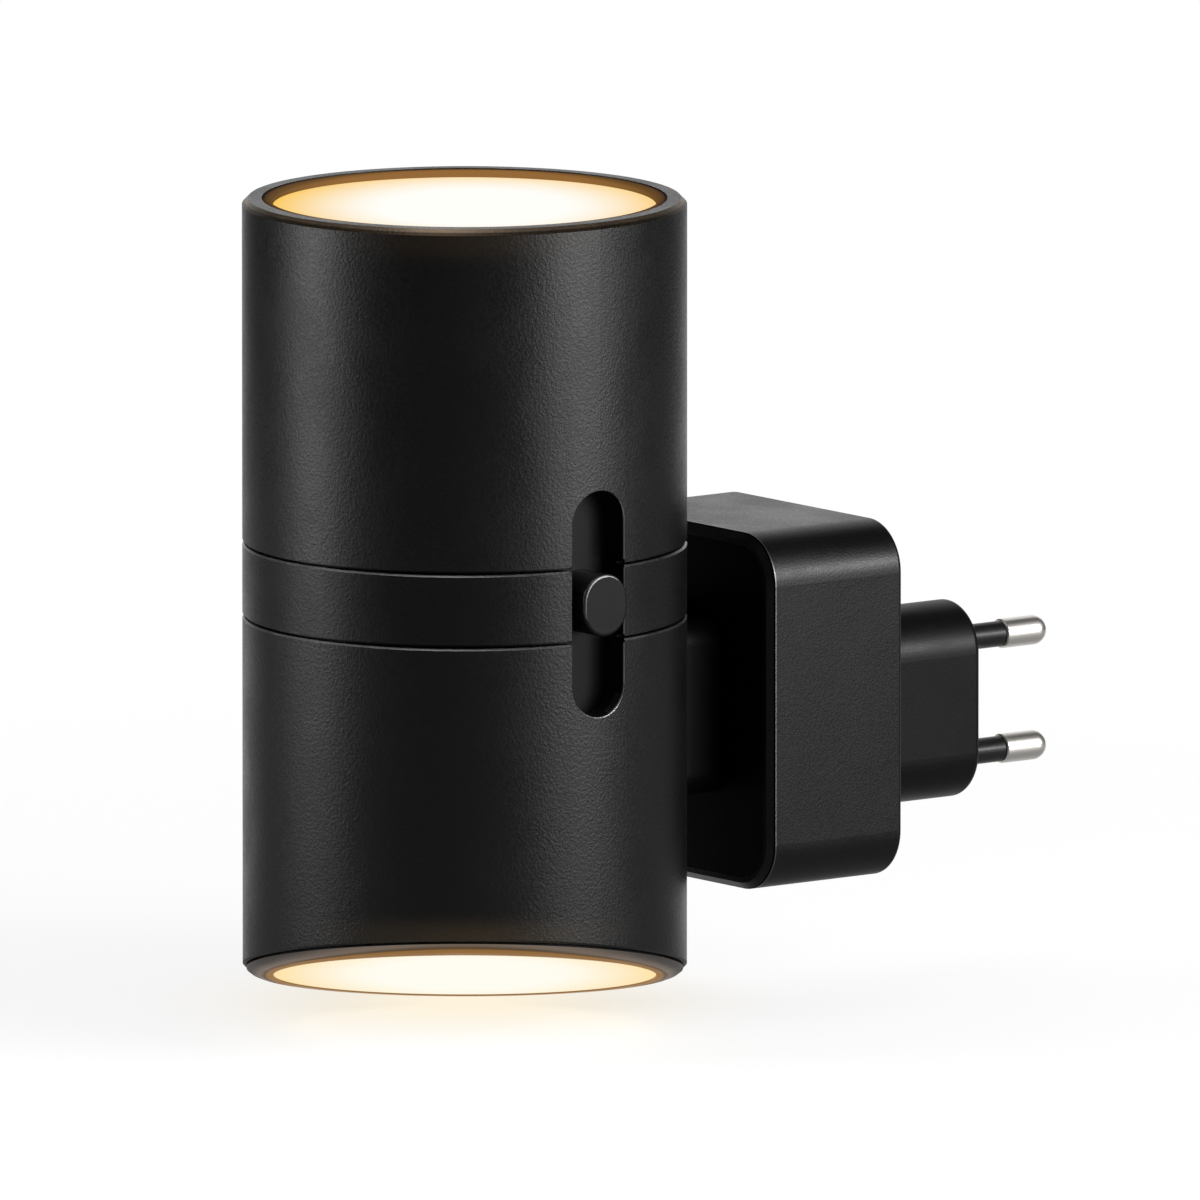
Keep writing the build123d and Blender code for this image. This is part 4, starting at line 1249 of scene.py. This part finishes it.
@dataclass(frozen=True)
class SlideDimmer(Assembly):
    """Slide knob, its shutter, and the dimmer with its board behind them."""

    finishes: Dressing = (
        # painted highlight: the knob's rounded edges that face up and to one side are bright metal
        (Finish("knob_plastic", grey(0.002), grey(0.0026), 0.38, specular=0.14, grain=0.3, mottle=8.0, bump=0.006,
                bevel=grey(0.1), bevel_faces=(0.62, -0.45, 0.64), bevel_range=(0.66, 1.01)), "switch_knob"),
        (Finish("shutter_plastic", grey(0.0015), grey(0.002), 0.42, specular=0.12, grain=0.3, bump=0.005),
         "slide_shutter"),
        (SolderMask("board_green", (0.01, 0.075, 0.028), (0.014, 0.09, 0.034), 0.35, grain=0.8, pitch=3.2),
         "control_board driver_board"),
        (DrawnMetal("can_steel", (0.5, 0.5, 0.48), (0.6, 0.6, 0.58), 0.28, stretch=(1.0, 1.0, 0.05)),
         "dimmer_can"),
        (SplitColour("track_carbon", (0.008, 0.007, 0.006), (0.012, 0.01, 0.008), 0.5, grain=0.2, axis=Axis.Y,
                     split=HEAD[1], other=(0.09, 0.05, 0.018)), "dimmer_track"),
        (Finish("lever_plastic", grey(0.012), grey(0.018), 0.4, grain=0.3), "dimmer_slider"),
        (DrawnMetal("contact_brass", (0.62, 0.42, 0.13), (0.7, 0.5, 0.18), 0.25, stretch=(1.0, 1.0, 0.08)),
         "dimmer_wiper"),
    )
    screws: Screws = (ScrewSet("liner_screws", Axis.X, -1), ScrewSet("control_board_screws", Axis.X, 1))


@dataclass(frozen=True)
class Wiring(Assembly):
    """The pairs of wires: each pair has two colours of insulation."""

    red: Colour = (0.42, 0.012, 0.01)
    black: Colour = grey(0.01)
    brown: Colour = (0.11, 0.035, 0.012)
    blue: Colour = (0.012, 0.07, 0.32)
    tint: float = 1.2

    def dress(self, shop: Workshop, node: str, first: Colour, other: Colour, axis: Axis) -> None:
        """Dresses a pair of wires, whose colour changes in the middle of the pair.

        Args:
            shop: The workshop.
            node: The pair.
            first, other: Colours of the two wires.
            axis: Axis across the pair.
        """
        tint = tuple(self.tint * part for part in first)
        halves = {"axis": axis, "split": middle_of(node)[axis.index], "other": other}
        shop.dress(SplitColour(f"{node}_skin", first, tint, 0.38, grain=0.3, bump=0.004, **halves), node)

    def build(self, shop: Workshop) -> None:
        """Dresses the four pairs.

        Args:
            shop: The workshop.
        """
        for node, axis in (("supply_leads", Axis.Z), ("upper_led_leads", Axis.Y), ("lower_led_leads", Axis.Y)):
            self.dress(shop, node, self.black, self.red, axis)
        self.dress(shop, "mains_leads", self.brown, self.blue, Axis.Z)


# A hair below a component's top, counted down from it.
TOP = -1e-6
CAN_CORNERS = (
    (4.0, 0.0), (0.5, 0.0), (0.12, 0.15), (0.0, 0.5), (0.0, 1.1), (0.35, 1.45), (0.35, 1.65), (0.0, 2.0),
    (0.0, -0.5), (0.12, -0.15), (0.45, TOP), (0.8, TOP), (0.95, -0.2), (5.0, -0.2),
)
COIL_CORNERS = ((5.0, 0.0), (0.5, 0.0), (0.1, 0.4), (0.1, -0.4), (0.5, TOP), (5.0, TOP))
DRUM_CORNERS = (
    (3.0, 0.0), (0.1, 0.0), (0.0, 0.1), (0.0, 1.0), (0.7, 1.1), (0.7, -1.1), (0.0, -1.0), (0.0, -0.1), (0.1, TOP),
    (3.0, TOP),
)
FUSE_CORNERS = (
    (1.9, 0.0), (0.3, 0.0), (0.0, 0.3), (0.0, 2.2), (0.18, 2.25), (0.18, -2.25), (0.0, -2.2), (0.0, -0.3),
    (0.3, TOP), (1.9, TOP),
)


@dataclass(frozen=True)
class DriverBox(Assembly):
    """Rounded box behind the head, the neck that carries the head, and the driver inside."""

    bevel: float = 1.1
    # painted shade: the case's bevels that face the head are near black and matt
    shell: Finish = Finish(
        "box_plastic", grey(0.0016), grey(0.0022), 0.355, specular=0.23, grain=0.4, mottle=12.0, bump=0.012,
        bevel=grey(0.001), bevel_faces=(0.0, -1.0, 0.0), bevel_metal=0.0,
    )
    finishes: Dressing = (
        # painted shade: the cover is darker and duller than the case, for the shade between head and box
        (Finish("cover_plastic", grey(0.0006), grey(0.0009), 0.5, specular=0.06, grain=0.4, bump=0.006),
         "driver_cover"),
        (Finish("neck_plastic", grey(0.001), grey(0.0014), 0.44, specular=0.12, grain=0.3, mottle=10.0,
                bump=0.006), "neck"),
        (Finish("ferrite", (0.012, 0.012, 0.013), (0.02, 0.02, 0.021), 0.55, grain=0.25, bump=0.01),
         "transformer_core"),
        (Finish("chip_plastic", (0.006, 0.006, 0.0065), (0.008, 0.008, 0.0085), 0.5, grain=0.2, bump=0.004),
         "controller_chip"),
        (STEEL, "neck_nuts"),
    )
    can: Finish = Marked(
        "capacitor_sleeve", (0.006, 0.008, 0.022), (0.008, 0.01, 0.028), 0.25, grain=0.5, bump=0.002, coat=0.4,
        mark=grey(0.62),
    )
    tape: Finish = Finish("coil_tape", (0.62, 0.36, 0.02), (0.7, 0.43, 0.035), 0.32, grain=0.5, mottle=3.0, coat=0.3)
    ceramic: Finish = Marked(
        "fuse_body", (0.62, 0.58, 0.5), (0.68, 0.64, 0.56), 0.3, grain=0.4, coat=0.5, mark=(0.66, 0.66, 0.64)
    )
    drum: Finish = Marked("choke_sleeve", grey(0.008), grey(0.012), 0.5, grain=0.3, mark=(0.5, 0.17, 0.06))
    screws: Screws = (
        ScrewSet("case_screws", Axis.Y, 1, Screw(columns=96, top_rows=40)),
        ScrewSet("driver_board_screws", Axis.Y, 1, diagonal=True),
        ScrewSet("neck_screws", Axis.Y, 1, Screw(head=3.5, head_height=2.4, shank=2.0, thread=0.22)),
    )

    def components(self) -> tuple[Turning, ...]:
        """The round and wound components of the driver.

        Returns:
            The components, which are still to be built.
        """
        can = (Axis.Y, self.can, CAN_CORNERS)
        top = {"marked": ((-0.3, 0.0),), "vent": 0.12, "stripe": 0.35}
        return (
            Turning("bulk_capacitor", *can, **top),
            Turning("output_capacitor", *can, **top),
            Turning("transformer_coil", Axis.Y, self.tape, COIL_CORNERS, power=7.0, wound=(0.6, 10.9),
                    wind=0.1, pitch=0.9, columns=120),
            Turning("choke", Axis.Y, self.drum, DRUM_CORNERS, marked=((1.1, -1.1),),
                    wound=(1.1, 6.9), wind=0.22, step=0.1),
            Turning("fuse", Axis.Z, self.ceramic, FUSE_CORNERS, marked=((0.0, 2.2), (-2.2, 0.0))),
        )

    def build(self, shop: Workshop) -> None:
        """Dresses the box and the driver, and builds the box's screws and the components.

        Args:
            shop: The workshop.
        """
        # the painted glint runs round the case at the outer edge of its front bevel
        line = box_mm("driver_case")[0][1] + self.bevel
        shop.dress(self.shell.as_kind(GlintLineCoat, "case_plastic", line_at=line), "driver_case")
        super().build(shop)
        for component in self.components():
            component.build(shop)


@dataclass(frozen=True)
class Plug(Assembly):
    """Plug nose with its two sleeved pins."""

    core: float = 1.6
    core_bevel: float = 0.2
    collar: Pair = (-9.0, -7.0)
    tip: float = 2.4
    tip_bevel: float = 0.2
    tip_rows: int = 26
    bore: float = 1.64
    taper: float = 0.15
    groove: float = 0.16
    ridge: float = 0.05
    sleeve_bevel: float = 0.2
    grip: tuple[float, ...] = (1.1, 1.25, 1.6, 1.75, 2.6, 2.75, 3.1, 3.3)
    crease: float = 32.0
    columns: int = 96
    step: float = 0.5
    sleeve: Finish = Finish("sleeve_plastic", grey(0.005), grey(0.006), 0.34, grain=0.3, bump=0.004)
    metal: Finish = DrawnMetal(
        "pin_metal", (0.72, 0.69, 0.645), (0.8, 0.77, 0.725), 0.36, swing=0.03, stretch=(1.0, 0.02, 1.0), line=0.14,
        bump=0.0006,
    )
    finishes: Dressing = (
        (Finish("nose_plastic", grey(0.0016), grey(0.0022), 0.38, specular=0.16, grain=0.35, mottle=12.0),
         "plug_nose"),
    )
    screws: Screws = (ScrewSet("plug_screws", Axis.Y, -1),)

    def pin(self, shop: Workshop, node: str, bare: float) -> None:
        """Turns one pin: slim core, collar and bare tip, with a quarter circle spun for its round end.

        Args:
            shop: The workshop.
            node: The pin.
            bare: Where its sleeve ends.
        """
        low, high = box_mm(node)
        collar, bevel = (high - low)[0] / 2.0, self.core_bevel
        start, end = self.collar
        corners = (
            (self.core - bevel, low[1]), (self.core, low[1] + bevel), (self.core, start), (collar, start),
            (collar, end), (self.core, end), (self.core, bare), (self.tip - self.tip_bevel, bare),
            (self.tip, bare + self.tip_bevel), (self.tip, high[1] - self.tip),
        )
        radius, height = profile(corners, self.step)
        turn = np.linspace(0.0, math.pi / 2.0, self.tip_rows)[1:-1]
        radius = np.concatenate((radius, self.tip * np.cos(turn)))
        height = np.concatenate((height, high[1] - self.tip + self.tip * np.sin(turn)))
        self.place(shop, node, (radius, height), self.metal, False)

    def sleeved(self, shop: Workshop, node: str) -> None:
        """Turns one sleeve: a closed profile with two shallow grooves near the nose, spun round the bore.

        Args:
            shop: The workshop.
            node: The sleeve.
        """
        low, high = box_mm(node)
        root = (high - low)[0] / 2.0
        body, ridge, bevel = root - self.taper, root - self.ridge, self.sleeve_bevel
        deep = body - self.groove
        corners = (
            (root, low[1]), *zip((root, deep, deep, ridge, ridge, deep, deep, body), self.grip),
            (body, high[1] - bevel), (body - bevel, high[1]), (self.bore, high[1]), (self.bore, low[1]),
        )
        radius, height = profile((*corners, corners[0]), self.step)
        self.place(shop, node, (radius[:-1], height[:-1]), self.sleeve, True)

    def place(self, shop: Workshop, node: str, outline: tuple[Array, Array], finish: Finish, loop: bool) -> None:
        """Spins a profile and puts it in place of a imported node.

        Args:
            shop: The workshop.
            node: The node.
            outline: Radii and heights of the profile.
            finish: Its finish.
            loop: Whether the profile closes on itself.
        """
        middle = middle_of(node) * (1.0, 0.0, 1.0)
        points = Axis.Y.turned(spun(*outline, self.columns)) + middle
        shop.add(f"{node}_turned", [Skin(points, loop)], finish, node, crease=self.crease)

    def build(self, shop: Workshop) -> None:
        """Turns the pins and their sleeves, dresses the nose and builds the plug's screws.

        Args:
            shop: The workshop.
        """
        for side in ("upper", "lower"):
            self.pin(shop, f"{side}_pin", box_mm(f"{side}_sleeve")[1][1])
            self.sleeved(shop, f"{side}_sleeve")
        super().build(shop)


@dataclass(frozen=True)
class Softbox:
    """Rectangular soft light that faces the lamp.

    Its azimuth counts from the camera's, and a brightness of 1 is that of the white background.
    """

    name: str
    azimuth: float
    elevation: float
    width: float
    height: float
    distance: float
    brightness: float

    def build(self) -> None:
        """Hangs the light."""
        data = bpy.data.lights.new(self.name, "AREA")
        data.shape = "RECTANGLE"
        data.size, data.size_y = self.width, self.height
        data.energy = self.brightness * math.pi * self.width * self.height
        light = add_object(self.name, data)
        back = towards(VIEW_AZIMUTH + self.azimuth, self.elevation)
        light.location = Vector(HEAD * MM) + back * self.distance
        light.rotation_mode = "QUATERNION"
        light.rotation_quaternion = back.to_track_quat("Z", "Y")


@dataclass(frozen=True)
class Studio:
    """Pale floor, soft lights and the camera at the photograph's viewing angle."""

    elevation: float = 8.85
    distance: float = 8.0
    frame_width: float = 0.1942
    aim_right: float = 0.0219
    aim_down: float = 0.0037
    sensor: float = 36.0
    clip: Pair = (0.1, 100.0)
    floor_gap: float = 0.0008
    floor_half: float = 0.55
    floor_colour: Colour = grey(0.9)
    floor_shade: Pair = (0.12, 0.4)
    floor_glow: float = 0.78
    floor_sweep: Pair = (0.5, 1.0)
    floor_mirror: float = 0.28
    world_light: float = 0.4
    room_light: float = 0.03
    backdrop: Pair = (0.84, 1.0)
    backdrop_rise: float = 0.3
    # painted patch of warm light on the floor near the lower mouth: its colour, the offset of its middle from the
    # head, and its reaches
    pool: Colour = (1.0, 0.90, 0.72)
    pool_back: float = 33.0
    pool_near: Pair = (0.002, 0.026)
    pool_far: Pair = (0.002, 0.055)
    lights: tuple[Softbox, ...] = (
        Softbox("left_softbox", -83.0, 14.0, 0.46, 0.9, 0.9, 5.6),
        Softbox("right_softbox", 60.0, 14.0, 0.5, 0.9, 0.9, 7.0),
        Softbox("right_kicker", 74.0, 15.0, 0.35, 0.16, 0.9, 22.0),
        Softbox("top_softbox", -30.0, 78.0, 0.5, 0.5, 1.1, 2.0),
    )

    def camera(self) -> None:
        """Puts the camera far off on a long lens, so that the view is almost parallel."""
        back, right = towards(VIEW_AZIMUTH, self.elevation), Vector(ASIDE)
        target = Vector(HEAD * MM) + right * self.aim_right - back.cross(right) * self.aim_down
        data = bpy.data.cameras.new("camera")
        data.sensor_width = self.sensor
        data.lens = self.sensor * self.distance / self.frame_width
        data.clip_start, data.clip_end = self.clip
        camera = add_object("camera", data)
        camera.location = target + back * self.distance
        camera.rotation_mode = "QUATERNION"
        camera.rotation_quaternion = (-back).to_track_quat("-Z", "Y")
        bpy.context.scene.camera = camera

    def floor(self) -> None:
        """Builds the floor: a flat square sheet just under the lowest point of the lamp."""
        low, half = CAD_BOX[0].z - self.floor_gap, self.floor_half
        corners = [(-half, -half, low), (half, -half, low), (half, half, low), (-half, half, low)]
        mesh = bpy.data.meshes.new("studio_floor")
        mesh.from_pydata(corners, [], [(0, 1, 2, 3)])
        mesh.materials.append(self.floor_material())
        sheet = add_object("studio_floor", mesh)

    @staticmethod
    def sight(bench: Bench) -> Socket:
        """1 where the camera, a reflection or glass looks, and 0 for light.

        Args:
            bench: The bench of the floor or the world.

        Returns:
            The share.
        """
        path = bench.node("LightPath")
        seen = bench.math("MAXIMUM", path["Is Camera Ray"], path["Is Glossy Ray"])
        return bench.math("MAXIMUM", seen, path["Is Transmission Ray"])

    def swept(self, bench: Bench, way: Socket, limits: Pair, room: float) -> Socket:
        """Brightness of the white sweep behind the lamp, as reflections see it.

        Args:
            bench: The bench of the floor or the world.
            way: Direction from the lamp.
            limits: Cosines of the angles from straight behind where it ends and where it is full.
            room: Brightness away from the sweep.

        Returns:
            The brightness, 1 straight behind the lamp.
        """
        low = bench.vector("MULTIPLY", way, (1.0, 1.0, self.backdrop_rise))
        facing = bench.vector("DOT_PRODUCT", bench.vector("NORMALIZE", low), tuple(-AHEAD))
        return bench.span(facing, *limits, room, 1.0)

    def floor_material(self) -> Material:
        """Pale floor that keeps a soft shadow near the lamp, with a painted patch of warm light near the lower mouth,
        is plain white further off and is clear from below.

        Returns:
            The material.
        """
        material = bpy.data.materials.new("floor_pale")
        material.use_nodes = True
        bench = Bench(material.node_tree)
        bench.tree.nodes.remove(bench.tree.nodes["Principled BSDF"])
        apart = bench.vector("SUBTRACT", bench.place(), tuple(HEAD * MM))
        flat = bench.vector("MULTIPLY", apart, LEVEL)
        reach = bench.vector("LENGTH", bench.vector("ADD", flat, tuple(self.pool_back * MM * AHEAD)))
        # the painted patch of warm light tints the floor's white
        tint = bench.mix(bench.span(reach, *self.pool_far, 1.0, 0.0), WHITE, self.pool)
        glow = bench.span(bench.vector("LENGTH", flat), *self.floor_shade, self.floor_glow, 1.0)
        # near the lower mouth the floor is full white, painted light over its shadow
        lit = bench.math("MAXIMUM", glow, bench.span(reach, *self.pool_near, 1.0, self.floor_glow))
        matte = bench.node("BsdfDiffuse", {"Color": self.floor_colour})[0]
        white = bench.node("Emission", {"Color": tint, "Strength": 1.0})[0]
        pale = bench.blend(bench.math("MULTIPLY", self.sight(bench), lit), matte, white)
        # painted shade: reflections see the floor darker, except in the sweep straight behind the lamp
        mirror = self.swept(bench, flat, self.floor_sweep, self.floor_mirror)
        painted_mirror_shade = bench.node("Emission", {"Color": WHITE, "Strength": mirror})[0]
        path = bench.node("LightPath")
        seen = bench.blend(path["Is Glossy Ray"], pale, painted_mirror_shade)
        under = bench.math("MULTIPLY", path["Is Camera Ray"], bench.node("NewGeometry")["Backfacing"])
        sheet = bench.blend(under, seen, bench.node("BsdfTransparent")[0])
        bench.feed(bench.tree.nodes["Material Output"].inputs["Surface"], sheet)
        return material

    def world(self) -> None:
        """Soft even light, a white surround for the camera and a white backdrop behind for reflections."""
        world = bpy.data.worlds.new("studio")
        world.use_nodes = True
        bench = Bench(world.node_tree)
        soft = bench.tree.nodes["Background"]
        bench.feed(soft.inputs["Color"], WHITE)
        bench.feed(soft.inputs["Strength"], self.world_light)
        backdrop = self.swept(bench, bench.node("TexCoord")["Generated"], self.backdrop, self.room_light)
        seen = bench.math("MAXIMUM", backdrop, bench.node("LightPath")["Is Camera Ray"])
        white = bench.node("Background", {"Color": WHITE, "Strength": seen})[0]
        both = bench.blend(self.sight(bench), soft.outputs[0], white)
        bench.feed(bench.tree.nodes["World Output"].inputs["Surface"], both)
        bpy.context.scene.world = world

    def build(self) -> None:
        """Sets the view, the floor, the world and the lights."""
        bpy.context.scene.view_settings.view_transform = "Standard"
        self.camera()
        self.floor()
        self.world()
        for light in self.lights:
            light.build()


def main() -> None:
    """Builds the scene in order: the studio, then each sub-assembly of the lamp."""
    logging.basicConfig(level=logging.INFO, format="%(message)s")
    Studio().build()
    shop = Workshop(SharedEffects())
    for assembly in (LampHead(), LightEnds(), SlideDimmer(), Wiring(), DriverBox(), Plug()):
        assembly.build(shop)


if __name__ == "__main__":
    main()
